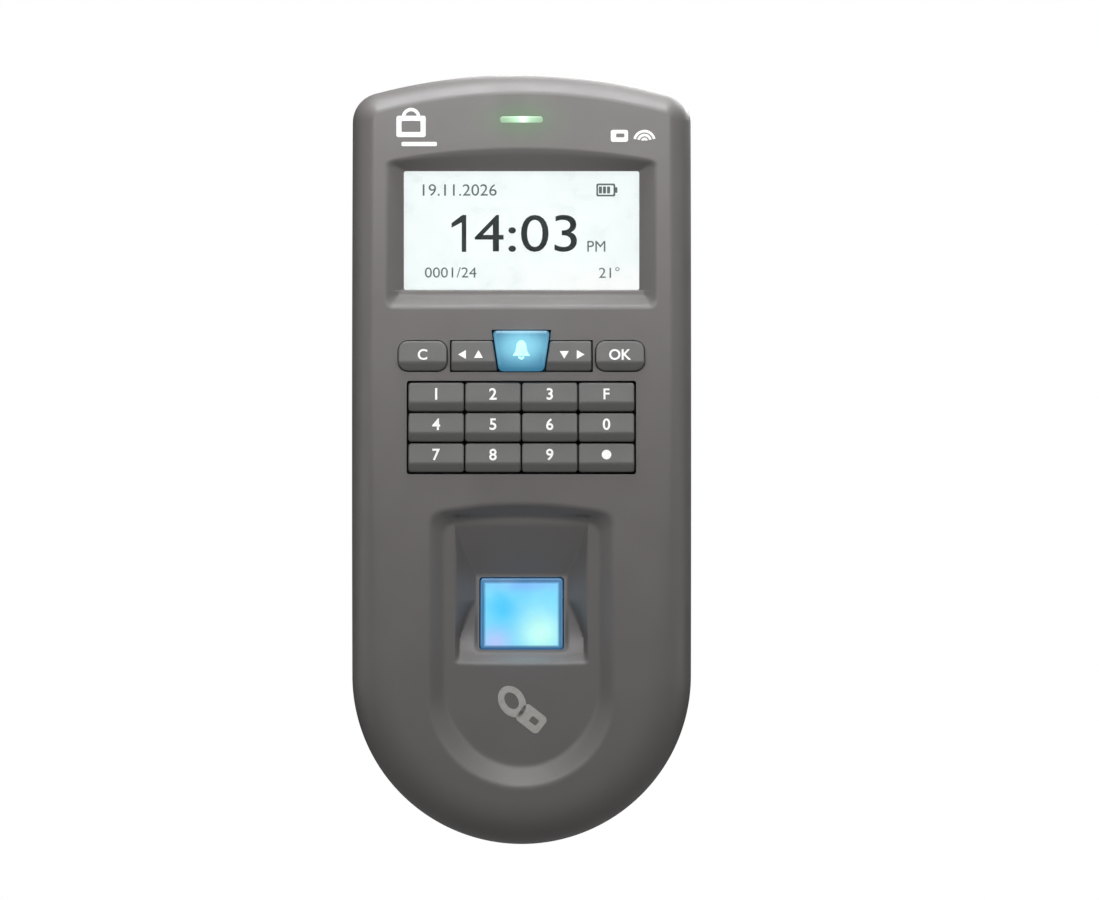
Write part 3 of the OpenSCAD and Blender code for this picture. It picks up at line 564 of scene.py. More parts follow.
# right half of the outline, from the lowest point to the top: x, z, number up to the corner's middle
def outlineHalf(inset, detail):
    w, r, R = (caseShape[part] - inset for part in ("halfWidth", "cornerRadius", "archRadius"))
    a = np.linspace(-np.pi / 2, 0, detail["round"] + 1)[:-1]
    heights = detail["heights"][:-1]
    c = np.linspace(0, cornerTurn, 2 * detail["corner"] + 1)[:-1]
    top = np.arccos(np.clip(detail["across"][::-1] / (caseShape["archRadius"] - caseShape["bandWidth"]), -1, 1))
    x = np.concatenate([w * np.cos(a), np.full(len(heights), w), cornerX + r * np.cos(c), R * np.cos(top)])
    z = np.concatenate([lowCentre + w * np.sin(a), heights, cornerZ + r * np.sin(c), archCentre + R * np.sin(top)])
    return x, z, len(a) + len(heights) + detail["corner"]


# the whole outline, anticlockwise from the front, starting at the lowest point
def outlineLoop(inset, detail):
    x, z, _ = outlineHalf(inset, detail)
    return np.concatenate([x, -x[-2:0:-1]]), np.concatenate([z, z[-2:0:-1]])


# Rows run across the face at the outline's own heights. They bend towards the arched top by these shares,
# and sink between these heights to follow the top edge of the dish.
rowBend = {"from": 0.2, "share": 0.62, "sinkAt": [-26, -15, -9, -6], "sinkShare": [0, 1, 1, 0]}


# x is the outline's x times an even share; z is the outline's z plus the bend, less x squared over the
# arch
def faceGrid(detail):
    x, z, corner = outlineHalf(caseShape["bandWidth"], detail)
    rowX, rowZ = x[:corner + 1], z[:corner + 1]
    topX = np.concatenate([-x[corner:], x[-2:corner - 1:-1]])
    topZ = np.concatenate([z[corner:], z[-2:corner - 1:-1]])
    share = topX / rowX[-1]
    bend = np.interp(rowZ, [display["high"] + rowBend["from"], display["cornerZ"], rowZ[-1]], [0, rowBend["share"], 1])
    gx = rowX[:, None] * share[None, :]
    gz = rowZ[:, None] + bend[:, None] * (topZ - topZ[0])[None, :]
    sinkShare = np.interp(rowZ, rowBend["sinkAt"], rowBend["sinkShare"])
    sink = sinkShare[:, None] * np.minimum(np.abs(gx), dish["halfWidth"]) ** 2
    return gx, gz - sink / (2 * dish["archRadius"])


# the face grid, rings down the band and the side, a flat base
def shellSolid(detail, insets, surface, sideInset, base):
    gx, gz = faceGrid(detail)
    rows, cols = gx.shape
    points = [rowPoints(gx, surface(gx, gz), gz)]
    loops = [edgeLoop(rows, cols)[cols - 1:]]  # without the lowest row, which is one point
    count = rows * cols
    for inset in list(insets) + ["base"]:
        x, z = outlineLoop(sideInset if inset == "base" else inset, detail)
        depth = np.full(len(x), base) if inset == "base" else surface(x, z)
        points.append(rowPoints(x, depth, z))
        loops.append(count + np.arange(len(x)))
        count += len(x)
    bands = [ringQuads(lower, upper) for upper, lower in zip(loops[:-1], loops[1:])]
    return np.concatenate(points), [gridQuads(rows, cols)] + bands + [loops[-1][None, ::-1]]


acrossEnd = (caseShape["archRadius"] - caseShape["bandWidth"]) * math.cos(cornerTurn)
faceDetail = {  # where the face grid has its rows and columns: close together where the surface bends
    "round": 100, "corner": 6,
    "heights": steps((lowCentre, -48.4, 0.5), (-48.4, -44.4, 0.25), (-44.4, -27.4, 0.6), (-27.4, -25.4, 0.3),
                     (-25.4, -15.6, 0.6), (-15.6, -9.2, 0.3), (-9.2, -4.2, 1.0), (-4.2, 20, 2.0), (20, 34.6, 1.6),
                     (34.6, 39.8, 0.25), (39.8, 66.6, 2.0), (66.6, 69.6, 0.2), (69.6, 72, 0.4), (72, cornerZ, 0.9)),
    "across": steps((0, 9.6, 0.8), (9.6, 21.9, 0.33), (21.9, 26.8, 1.0), (26.8, 31.9, 0.28), (31.9, acrossEnd, 0.5)),
}
coarseDetail = {  # the same for the inside
    "round": 30, "corner": 3,
    "heights": steps((lowCentre, -10, 1.5), (-10, 33, 4.0), (33, 41, 1.0), (41, 65, 4.0), (65, 73, 1.0), (73, cornerZ, 2.0)),
    "across": steps((0, 9, 3.0), (9, 33, 1.2)),
}
coarseDetail["across"][-1] = faceDetail["across"][-1]
print("case surfaces defined")


def turned(cx, cz, x, z, degrees):  # points turned about the origin, then moved
    t = math.radians(degrees)
    return np.stack([cx + x * math.cos(t) - z * math.sin(t), cz + x * math.sin(t) + z * math.cos(t)], 1)


def roundedLoop(cx, cz, w, h, r, turn=0.0, n=6):  # a rounded rectangle, anticlockwise from the front
    a = np.linspace(0, np.pi / 2, n + 1)
    px, pz, c, s = w / 2 - r, h / 2 - r, r * np.cos(a), r * np.sin(a)
    x = np.concatenate([px + c, -px - s, -px - c, px + s])
    z = np.concatenate([pz + s, pz + c, -pz - s, -pz - c])
    return turned(cx, cz, x, z, turn)


def ellipseLoop(cx, cz, rx, rz, turn=0.0, n=40, start=0.0, stop=360.0):
    a = np.radians(np.linspace(start, stop, n, endpoint=stop - start < 360))
    return turned(cx, cz, rx * np.cos(a), rz * np.sin(a), turn)


sensor = {"middle": (0.0, 29.35, -35.8), "width": 19.2, "height": 16.6, "corner": 0.8, "edge": 0.35,
          "back": -6.0, "front": 0.25, "clearance": 0.5}
sensorTilt = math.atan((well["floorLowDepth"] - well["floorTopDepth"]) / (well["floorTop"] - well["floorLow"]))


# an outline across and up the sensor's slope, at a level out of its face, in the row frame
def sensorPoints(loop, level):
    x, depth, z = sensor["middle"]
    u, v = loop[:, 0], loop[:, 1]
    return rowPoints(x + u, depth - v * math.sin(sensorTilt) + level * math.cos(sensorTilt),
                     z + v * math.cos(sensorTilt) + level * math.sin(sensorTilt))


keypad = {"pitchX": 13.1, "pitchZ": 7.0, "gap": 0.5, "middleZ": 7.4, "bellLow": 20.5, "bellHigh": 29.7,
          "bellHalfLow": 5.2, "bellHalfHigh": 6.6, "functionLow": 20.5, "functionHigh": 27.3, "sideOut": 16.2,
          "endX": 22.8, "endWidth": 11.0, "clearance": 0.3, "cutBack": 32, "cutFront": 45}
slit = {"z": 78.9, "width": 10.0, "height": 1.4, "corner": 0.68, "clearance": 0.2}
window = {"z": 53.2, "width": 60.0, "height": 33.0, "back": 29.8, "front": 31.0}


def bellEdge(z):  # half the bell key's width: a straight line in z
    share = (z - keypad["bellLow"]) / (keypad["bellHigh"] - keypad["bellLow"])
    return keypad["bellHalfLow"] + (keypad["bellHalfHigh"] - keypad["bellHalfLow"]) * share


def openingCutters():
    c, depths = keypad["clearance"], (keypad["cutBack"], keypad["cutFront"])
    lowZ, highZ = keypad["functionLow"] - c, keypad["functionHigh"] + c
    row = [[keypad["sideOut"] + c, lowZ], [keypad["sideOut"] + c, highZ],
           [bellEdge(highZ) + c, highZ], [keypad["bellHalfHigh"] + c, keypad["bellHigh"] + c]]
    row = np.array(row + [[-x, z] for x, z in row[::-1]])
    numbers = roundedLoop(0, keypad["middleZ"], 4 * keypad["pitchX"] + 2 * c, 3 * keypad["pitchZ"] + 2 * c, 0.6)
    view = roundedLoop(0, (display["low"] + display["high"]) / 2, 2 * display["halfWidth"],
                       display["high"] - display["low"], 0.5)
    light = roundedLoop(0, slit["z"], slit["width"] + slit["clearance"], slit["height"] + slit["clearance"], 0.78)
    glass = roundedLoop(0, 0, sensor["width"] + sensor["clearance"], sensor["height"] + sensor["clearance"], 0.8)
    glassHole = np.concatenate([sensorPoints(glass, level) for level in (-8, 4)])
    cutters = [prismSolid(numbers, *depths), prismSolid(row, *depths), prismSolid(view, display["holeBack"], 32.6),
               prismSolid(light, 26, keypad["cutFront"]), (glassHole, stackFaces(2, len(glass)))]
    for side in (-1, 1):
        end = roundedLoop(side * keypad["endX"], (keypad["functionLow"] + keypad["functionHigh"]) / 2,
                          keypad["endWidth"] + 2 * c, highZ - lowZ, 2.5)
        cutters.append(prismSolid(end, *depths))
    return joinSolids(*cutters)


def cavityDepth(x, z):  # the lowest front surface found within 1.6 mm, less the wall
    around = [(0, 0)] + [(1.6 * math.cos(a), 1.6 * math.sin(a)) for a in np.linspace(0, 2 * math.pi, 9)[:-1]]
    return np.minimum.reduce([faceDepth(x + dx, z + dz) for dx, dz in around]) - caseShape["faceWall"]


def buildFrontCover(material):
    turn = np.linspace(math.asin(caseShape["bandDrop"] / bandRadius), 0, 12)
    # even turns down the band's arc, from the crease to the side
    bandInsets = bandRadius * (1 - np.cos(turn))[1:]
    outer = shellSolid(faceDetail, bandInsets, faceDepth, 0.0, caseShape["parting"])
    cavity = shellSolid(coarseDetail, [4.4, 3.4, 2.8, caseShape["wall"]], cavityDepth, caseShape["wall"],
                        caseShape["parting"] - 1)
    pocket = roundedLoop(0, window["z"], window["width"] + 0.4, window["height"] + 0.4, 0.3)
    piece = newPiece("frontCoverMoulded", outer, material, "front_cover", False)
    cutAway(piece, [cavity, openingCutters(), prismSolid(pocket, 27, window["front"])])
    cleanMesh(piece.data)
    smoothMesh(piece.data, 34)
    return dress(piece, material, "front_cover")


casePlastic = {"colour": (0.139, 0.130, 0.1265), "rough": 0.46, "grain": 3600.0, "tone": 0.10, "wear": 0.18,
               "dust": 0.05, "marks": 0.08, "bump": 0.22}
keyPlasticLook = {"colour": (0.104, 0.102, 0.100), "rough": 0.50, "grain": 5200.0, "tone": 0.08, "wear": 0.25,
                  "dust": 0.03, "marks": 0.10, "bump": 0.12}
# lit places, in metres in the row frame: (centre, reach, colour)
# statusGlow, the status tint and windowGlow are painted light on the case plastic: an emission glow and a green tint
# round the status slit and the sensor window
statusGlow = ((0, -0.036, 0.0789), (0.0108, 0.01, 0.0058), (0.10, 0.34, 0.11))
statusLightTint = (0.62, 0.77, 0.59, 1)
windowGlow = [((0, -0.030, -0.0368), (0.0145, 0.008, 0.0140), (0.0, 0.05, 0.12)),
              ((0.001, -0.033, -0.0463), (0.0120, 0.006, 0.0018), (0.03, 0.16, 0.20))]
lcdPatches = [((0, -0.0295, 0.0532), (0.032, 0.02, 0.017), (0.97, 1.0, 1.0)),
              ((0.02, -0.0295, 0.041), (0.03, 0.02, 0.006), (1.0, 1.0, 0.99))]
bellPatches = [((0, -0.038, 0.0262), (0.0080, 0.02, 0.0054), (0.20, 0.60, 0.82)),
               ((0, -0.038, 0.0262), (0.0060, 0.02, 0.0040), (0.27, 0.68, 0.85))]
statusPatches = [((0, -0.034, 0.0789), (0.0040, 0.01, 0.002), (0.62, 1.0, 0.68)),
                 ((0.0004, -0.034, 0.0789), (0.0014, 0.01, 0.002), (1.0, 1.0, 0.98))]
sensorPatches = [((0.0045, -0.030, -0.0405), (0.0075, 0.02, 0.0075), (0.55, 1.0, 0.90)),
                 ((-0.0060, -0.030, -0.0425), (0.0050, 0.02, 0.0050), (0.44, 0.58, 0.95)),
                 ((-0.0045, -0.029, -0.0345), (0.0045, 0.02, 0.006), (0.07, 0.58, 1.0)),
                 ((0.001, -0.028, -0.0292), (0.012, 0.02, 0.0022), (0.20, 0.50, 0.95))]


def addPatch(tree, colour, patch, blend="MIX"):
    centre, reach, tint = patch
    near = placeGroup(tree, "nearPoint", Centre=centre, Reach=reach)["Mask"]
    return mixColour(tree, near, colour, colour4(tint), blend)


def litCasePlastic():  # case plastic with painted light: an emission glow and a green tint where the status slit and the sensor window would throw their light on it
    material, tree, shader = mouldedPlastic("casePlastic", casePlastic)
    plain = shader.inputs["Base Color"].links[0].from_socket
    near = placeGroup(tree, "nearPoint", Centre=statusGlow[0], Reach=statusGlow[1])["Mask"]
    light = addPatch(tree, (0, 0, 0, 1), statusGlow)
    for patch in windowGlow:
        light = addPatch(tree, light, patch, "ADD")
    tinted = mixColour(tree, near, plain, statusLightTint, "MULTIPLY")
    feed(tree, shader, {"Base Color": tinted, "Emission Color": light, "Emission Strength": 0.3})
    return material


# a lit surface, with paler patches over a base colour
def glowing(name, base, patches, strength, rough=0.3, coat=0.0):
    material, tree, shader = newMaterial(name, Coat_Weight=coat, Coat_Roughness=0.08, Emission_Strength=strength)
    colour = colour4(base)
    for patch in patches:
        colour = addPatch(tree, colour, patch)
    cloud = noise(tree, Scale=260.0, Detail=3.0)
    lit = toned(tree, colour, mapRange(tree, cloud, 0.3, 0.7, 0.97, 1.03))
    feed(tree, shader, {
        "Emission Color": lit,
        "Base Color": mixColour(tree, 0.88, lit, (0.02, 0.02, 0.02, 1)),
        "Roughness": mapRange(tree, cloud, 0.3, 0.7, rough - 0.05, rough + 0.05),
    })
    return material


def clearPlastic(name, colour, rough):
    material, tree, shader = newMaterial(name, Transmission_Weight=1.0, IOR=1.49)
    smear = noise(tree, Scale=120.0, Detail=4.0, Distortion=1.0)
    tint = toned(tree, colour4(colour), mapRange(tree, smear, 0.3, 0.7, 0.98, 1.0))
    feed(tree, shader, {"Base Color": tint, "Roughness": mapRange(tree, smear, 0.4, 0.75, rough, rough + 0.05)})
    return material


# lit, with a darker border where the larger of x and z over their half sizes passes 0.9
def sensorGlowMaterial():
    material = glowing("sensorGlow", (0.17, 0.66, 0.95), sensorPatches, 0.95, 0.18, 0.4)
    tree = material.node_tree
    shader = tree.nodes["Principled BSDF"]
    lit = shader.inputs["Emission Color"].links[0].from_socket
    place = addNode(tree, "SeparateXYZ", {0: objectPlace(tree)}).outputs
    midHeight = (sensor["middle"][2] + sensor["front"] * math.sin(sensorTilt)) / 1000 - 0.0003
    rise = mathNode(tree, "ABSOLUTE", mathNode(tree, "SUBTRACT", place["Z"], midHeight))
    across = mathNode(tree, "DIVIDE", mathNode(tree, "ABSOLUTE", place["X"]), sensor["width"] / 2000)
    along = mathNode(tree, "DIVIDE", rise, sensor["height"] * math.cos(sensorTilt) / 2000)
    border = mapRange(tree, mathNode(tree, "MAXIMUM", across, along), 0.86, 0.92, 0.0, 1.0)
    feed(tree, shader, {"Emission Color": mixColour(tree, border, lit, (0.025, 0.13, 0.30, 1))})
    return material


def boardLaminate(name, colour, scale):  # solder mask over a maze of tracks and round pads
    material, tree, shader = newMaterial(name, Coat_Weight=0.3, Coat_Roughness=0.15)
    flat = addNode(tree, "Mapping", {"Vector": objectPlace(tree), "Rotation": (math.radians(90), 0, 0)})
    tracks = addNode(tree, "TexBrick", {
        "Vector": flat.outputs["Vector"], "Scale": scale, "Mortar Size": 0.06, "Mortar Smooth": 0.2,
        "Brick Width": 0.9, "Row Height": 0.12, "Color1": (0, 0, 0, 1), "Color2": (0.35, 0.35, 0.35, 1),
        "Mortar": (1, 1, 1, 1)}).outputs["Color"]
    pads = addNode(tree, "TexVoronoi", {"Vector": objectPlace(tree), "Scale": scale * 1.6, "Randomness": 0.55})
    pad = pads.outputs["Distance"]
    dots = mapRange(tree, pad, 0.12, 0.15, 1.0, 0.0)
    masked = mixColour(tree, tracks, colour4(colour), colour4([c * 1.9 + 0.01 for c in colour]))
    feed(tree, shader, {
        "Base Color": mixColour(tree, dots, masked, (0.62, 0.60, 0.55, 1)),
        "Metallic": mathNode(tree, "MULTIPLY", dots, 0.9),
        "Roughness": mapRange(tree, pad, 0.0, 0.6, 0.28, 0.42),
        "Normal": bumped(tree, tracks, 0.3, 0.00004),
    })
    return material


inks = {
    "white": printedInk("whiteLegend", (0.86, 0.86, 0.85), 0.5, 0.06),
    "grey": printedInk("greyLegend", (0.42, 0.41, 0.39), 0.5),
    "display": printedInk("displayInk", (0.035, 0.045, 0.045), 0.6),
    "displayFaint": printedInk("displayInkFaint", (0.10, 0.12, 0.12), 0.6, 0.6),
    "bell": printedInk("bellMark", (0.42, 0.88, 0.95), 0.5, 0.6),
}
materials = {  # by material slot
    "front_plastic": litCasePlastic(),
    "key_plastic": mouldedPlastic("keyPlastic", keyPlasticLook)[0],
    "bell_plastic": glowing("bellPlastic", (0.025, 0.17, 0.30), bellPatches, 0.95, 0.3, 0.3),
    "clear_window": clearPlastic("clearWindow", (0.97, 0.99, 0.99), 0.02),
    "lcd_glass": glowing("lcdGlass", (0.91, 0.965, 0.96), lcdPatches, 1.0),
    "sensor_window": sensorGlowMaterial(),
    "light_guide": glowing("statusLens", (0.33, 0.50, 0.33), statusPatches, 1.0, 0.25),
    "rear_plastic": simplePlastic("rearPlastic", (0.028, 0.028, 0.029), 0.52, dust=0.10, grain=3600.0, bump=0.3),
    "seal_rubber": simplePlastic("sealRubber", (0.012, 0.012, 0.012), 0.75),
    "diffuser": simplePlastic("diffuser", (0.80, 0.80, 0.76), 0.5),
    "ribbon_film": simplePlastic("ribbonFilm", (0.55, 0.25, 0.05), 0.3, grain=900.0),
    "led_body": simplePlastic("ledBody", (0.65, 0.75, 0.62), 0.3),
    "mat_silicone": simplePlastic("matSilicone", (0.02, 0.02, 0.022), 0.6),
    "black_plastic": simplePlastic("blackPlastic", (0.018, 0.018, 0.019), 0.45),
    "capacitor_sleeve": simplePlastic("capacitorSleeve", (0.02, 0.025, 0.09), 0.3),
    "terminal_plastic": simplePlastic("terminalPlastic", (0.02, 0.20, 0.07), 0.42),
    "relay_plastic": simplePlastic("relayPlastic", (0.015, 0.06, 0.32), 0.35),
    "plunger_plastic": simplePlastic("plungerPlastic", (0.62, 0.61, 0.57), 0.4),
    "circuit_board": boardLaminate("circuitBoard", (0.012, 0.095, 0.045), 160.0),
    "screw_steel": plainMetal("screwSteel", (0.55, 0.55, 0.56), 0.28),
    "plate_steel": plainMetal("galvanisedSteel", (0.60, 0.61, 0.62), 0.34, (1, 1, 1), 210.0, 0.05, 0.025),
    "frame_steel": plainMetal("frameSteel", (0.50, 0.50, 0.51), 0.3, (1, 1, 14)),
    "contact_gold": plainMetal("contactGold", (0.83, 0.62, 0.25), 0.25),
    "coil_copper": plainMetal("coilCopper", (0.72, 0.36, 0.18), 0.3),
    "socket_plastic": plainMetal("socketShield", (0.62, 0.62, 0.63), 0.25, (1, 1, 12)),
    "cell_steel": plainMetal("cellSteel", (0.66, 0.66, 0.66), 0.22),
    "spring_steel": plainMetal("springSteel", (0.52, 0.52, 0.53), 0.25),
}
print("materials:", len(bpy.data.materials))

keyShape = {"edge": 0.35, "widen": (0.11, 0.07), "ridgeBlend": 0.3, "back": 34.0, "stemRadius": 2.2, "stemBack": 31.25,
            "stemEdge": 0.2, "chin": 2.0, "reach": (0.4, 1.35, 0.45), "corner": 0.7}
keyKinds = {  # what sets some keys apart
    "key_clear": {"corner": 2.2},
    "key_ok": {"corner": 2.2},
    "key_left": {"corner": 0.5, "side": -1},
    "key_right": {"corner": 0.5, "side": 1},
    "key_bell": {"chin": 1.0, "reach": (0.8, 1.9, 1.5), "edge": 0.7, "corner": 1.0, "stem": (0, 25.2),
                 "left": (-keypad["bellHalfLow"], -keypad["bellHalfHigh"]),
                 "right": (keypad["bellHalfLow"], keypad["bellHalfHigh"])},
}
sideStemX = 11.4
stopGap = 0.035  # rows and columns of a key's grid are at least this far apart


# lower and upper ends of a key's left and right sides, its heights, corner radius and stem
def keyOutline(node):
    low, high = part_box(node)
    wide, tall = keyShape["widen"]
    x0, x1, z0, z1 = low.x * 1000 - wide, high.x * 1000 + wide, low.z * 1000 - tall, high.z * 1000 + tall
    key = {**keyShape, "z": (z0, z1), "left": (x0, x0), "right": (x1, x1), "stem": ((x0 + x1) / 2, (z0 + z1) / 2)}
    key.update(keyKinds.get(node, {}))
    if "side" in key:
        inner = [key["side"] * (bellEdge(z) + keypad["gap"] - wide) for z in (z0, z1)]
        outer = [key["side"] * keypad["sideOut"]] * 2
        key.update(left=min(inner, outer), right=max(inner, outer), stem=(key["side"] * sideStemX, key["stem"][1]))
    return key


def keyProfile(z, key):  # two straight lines that meet at a rounded ridge: the chin below and the lean above
    (low, high), (foot, ridge, brow), chin = key["z"], key["reach"], key["chin"]
    face = crown((low + high) / 2)
    chinLine = face + foot + (ridge - foot) / chin * (z - low)
    leanLine = face + ridge + (brow - ridge) / (high - low - chin) * (z - low - chin)
    return lesser(chinLine, leanLine, key["ridgeBlend"])


# one rising list between two ends, without stops too close together
def mergeStops(low, high, *lists, gap=stopGap):
    values = np.unique(np.concatenate(lists))
    values = values[(values > low + gap) & (values < high - gap)]
    kept = [low]
    for value in values:
        if value - kept[-1] >= gap:
            kept.append(value)
    return np.array(kept + [high])


# the cap falls from its profile by a quarter circle at its edge; the corners are cut by quarter circles
# too
def keySolids(key):
    (low, high), r, e = key["z"], key["corner"], key["edge"]
    turn = 1 - np.cos(np.linspace(0, np.pi / 2, 7))
    ridge = low + key["chin"]
    z = mergeStops(low, high, low + e * turn, high - e * turn, low + r * turn, high - r * turn,
                   ridge + np.linspace(-0.5, 0.5, 9), np.arange(low, high, 0.5))
    t = (z - low) / (high - low)
    lineLeft = key["left"][0] + (key["left"][1] - key["left"][0]) * t
    lineRight = key["right"][0] + (key["right"][1] - key["right"][0]) * t
    dz = np.minimum(z - low, high - z)
    cut = r - np.sqrt(np.maximum(r ** 2 - np.maximum(r - dz, 0) ** 2, 0))
    left, right = lineLeft + cut, lineRight - cut
    width = np.mean(right - left)
    s = mergeStops(0, 1, e * turn / width, 1 - e * turn / width, np.arange(0, 1, 0.7 / width), gap=stopGap / width)
    x = left[:, None] + (right - left)[:, None] * s[None, :]
    zz, dz = z[:, None] + 0 * x, dz[:, None] + 0 * x
    dx = np.minimum(x - lineLeft[:, None], lineRight[:, None] - x)
    inset = np.where((dx < r) & (dz < r), r - np.hypot(r - dx, r - dz), np.minimum(dx, dz))
    fall = e - np.sqrt(np.maximum(e ** 2 - (e - np.clip(inset, 0, e)) ** 2, 0))
    cap = padSolid(x, zz, keyProfile(zz, key) - fall, key["back"])
    radius, back, edge = key["stemRadius"], key["stemBack"], key["stemEdge"]
    stem = lathedSolid([[radius - edge, back], [radius, back + edge], [radius, key["back"] + 0.5]], key["stem"], 32)
    return cap, stem


# characters as a closed solid of unit thickness: corners about their middle, faces
def letters(text, thicken):
    curve = bpy.data.curves.new("letters", "FONT")
    curve.body, curve.size, curve.extrude, curve.resolution_u, curve.offset = text, 1.0, 0.5, 5, thicken
    holder = addObject("letters", curve)
    mesh = finishedMesh(holder)
    corners = np.zeros(len(mesh.vertices) * 3, np.float32)
    mesh.vertices.foreach_get("co", corners)
    faces = [np.array([list(face.vertices)]) for face in mesh.polygons]
    bpy.data.objects.remove(holder)
    bpy.data.curves.remove(curve)
    bpy.data.meshes.remove(mesh)
    corners = corners.reshape(-1, 3).astype(float)
    corners[:, :2] -= (corners[:, :2].max(0) + corners[:, :2].min(0)) / 2
    return corners, faces


inkDepth = {"key": 0.12, "glass": 0.05, "face": 0.1}


# fits characters to a width or a height
def placeLetters(text, x, z, width, height, surface, thickness, thicken=0.0):
    corners, faces = letters(text, thicken)
    size = np.ptp(corners[:, :2], axis=0)
    kz = height / size[1]
    kx = width / size[0] if width else kz
    px, pz = x + corners[:, 0] * kx, z + corners[:, 1] * kz
    return rowPoints(px, surface(px, pz) + corners[:, 2] * thickness, pz), faces


def flatPlate(loop, surface, thickness):  # a filled outline laid half into a surface
    base = surface(loop[:, 0], loop[:, 1])
    return prismSolid(loop, base - thickness / 2, base + thickness / 2)


# a band between two matching outlines laid half into a surface
def flatRing(outer, inner, surface, thickness):
    layers = [(outer, 1), (inner, 1), (outer, -1), (inner, -1)]
    points = [rowPoints(loop[:, 0], surface(loop[:, 0], loop[:, 1]) + sign * thickness / 2, loop[:, 1])
              for loop, sign in layers]
    o1, i1, o0, i0 = np.arange(4 * len(outer)).reshape(4, -1)
    return np.concatenate(points), [ringQuads(o1, i1), ringQuads(i0, o0), ringQuads(o0, o1), ringQuads(i1, i0)]


def arcBand(cx, cz, radius, width, start, stop):  # an open arc with a thickness, as one outline
    outer, inner = (ellipseLoop(cx, cz, r, r, 0, 24, start, stop) for r in (radius + width / 2, radius - width / 2))
    return np.concatenate([outer, inner[::-1]])


def triangleLoop(cx, cz, size, turn):
    a = np.radians(np.array([0, 120, 240]) + turn)
    return np.stack([cx + size * np.cos(a), cz + size * np.sin(a)], 1)


legends = {
    "key_1": "1", "key_2": "2", "key_3": "3", "key_function": "F",
    "key_4": "4", "key_5": "5", "key_6": "6", "key_0": "0",
    "key_7": "7", "key_8": "8", "key_9": "9", "key_dot": "dot",
    "key_clear": "C", "key_left": "left", "key_right": "right", "key_ok": "OK", "key_bell": "bell",
}
legendSize = {"height": 2.7, "wordHeight": 2.5, "thicken": 0.018, "dot": 1.1, "arrow": 1.2}
legendDrop = {"bell": -0.12, "C": 0.65, "OK": 0.65, "left": 0.65, "right": 0.65}  # the rest sit at numberDrop
numberDrop = 0.25
bellHeights = np.array([-1.9, -1.5, -0.9, 0.0, 0.9, 1.5, 1.75])
bellHalves = np.array([2.0, 1.75, 1.35, 1.2, 1.05, 0.6, 0.0])


def legendSolid(node, key):
    def plate(loop):
        return flatPlate(loop, onKey, inkDepth["key"])

    def onKey(px, pz):
        return keyProfile(pz, key)

    low, high = key["z"]
    x, word, arrow = key["stem"][0], legends[node], legendSize["arrow"]
    z = low + key["chin"] + (high - low - key["chin"]) / 2 - legendDrop.get(word, numberDrop)
    if word == "dot":
        return plate(ellipseLoop(x, z, legendSize["dot"], legendSize["dot"]))
    if word in ("left", "right"):
        side = key["side"]
        return joinSolids(plate(triangleLoop(x + side * 2.0, z, arrow, 0 if side > 0 else 180)),
                          plate(triangleLoop(x - side * 1.5, z + side * 0.2, arrow, 90 * -side)))
    if word == "bell":
        right, left = np.stack([bellHalves, bellHeights], 1), np.stack([-bellHalves, bellHeights], 1)[-2::-1]
        return joinSolids(plate(np.concatenate([right, left]) + [x, z + 0.1]),
                          plate(arcBand(x, z - 1.95, 0.45, 0.5, 180, 360)))
    height = legendSize["wordHeight"] if len(word) > 1 or word in "CF" else legendSize["height"]
    return placeLetters(word, x, z, None, height, onKey, inkDepth["key"], legendSize["thicken"])


def buildKeys():
    for node in legends:
        key = keyOutline(node)
        cap, stem = keySolids(key)
        material = materials[slotOf[node]]
        piece = newPiece(node + "_cap", cap, material, node, False)
        cutAway(piece, [stem], "UNION")
        smoothMesh(piece.data, 32)
        dress(piece, material, node)
        ink = inks["bell" if node == "key_bell" else "white"]
        newPiece(node + "_legend", legendSolid(node, key), ink, node, False, 20)


clock = {"restAt": (1.0, 52.6), "restWidth": 23.8, "height": 8.6, "oneAt": -13.4, "stroke": 1.05, "ink": 29.53}
smallWords = [("19.11.2026", -14.4, 62.7, 17.2, 2.7), ("0001/24", -16.5, 43.5, 12.0, 2.4),
              ("PM", 17.4, 49.6, 4.2, 2.5), ("21°", 20.4, 43.5, 4.8, 2.5)]  # text, x, z, width, height
battery = {"x": 19.6, "z": 62.7, "outer": (4.4, 3.0, 0.4), "inner": (3.6, 2.2, 0.25), "tip": (22.05, 0.5, 1.3, 0.15),
           "bars": (18.35, 19.3, 20.25), "bar": (0.7, 1.6, 0.1)}


def onGlass(x, z):
    return clock["ink"] + 0 * x


def buildDisplay():
    pane = roundedLoop(0, window["z"], window["width"], window["height"], 1.0)
    glass = newPiece("displayWindowClear", prismSolid(pane, window["back"], window["front"]),
                     materials["clear_window"], "display_window")
    addBevel(glass, 0.12, 40)
    ink = inkDepth["glass"]
    one, half, s = clock["oneAt"], clock["height"] / 2, clock["stroke"]
    x, z = clock["restAt"]
    flag = np.array([[one - s / 2, z - half], [one + s / 2, z - half], [one + s / 2, z + half],
                     [one - s * 0.35, z + half], [one - 2.9, z + half - 1.9], [one - 2.9, z + half - 3.0],
                     [one - s / 2, z + half - 1.7]])
    rest = placeLetters("4:03", x, z, clock["restWidth"], clock["height"], onGlass, ink)
    newPiece("clockDigits", joinSolids(flatPlate(flag, onGlass, ink), rest), inks["display"], "lcd_panel", False, 20)
    marks = [placeLetters(*word, onGlass, ink) for word in smallWords]
    outer, inner = (roundedLoop(battery["x"], battery["z"], *battery[part]) for part in ("outer", "inner"))
    bars = [battery["tip"]] + [(x, *battery["bar"]) for x in battery["bars"]]
    marks.append(flatRing(outer, inner, onGlass, ink))
    marks += [flatPlate(roundedLoop(x, battery["z"], *size), onGlass, ink) for x, *size in bars]
    newPiece("displayMarks", joinSolids(*marks), inks["displayFaint"], "lcd_panel", False, 20)


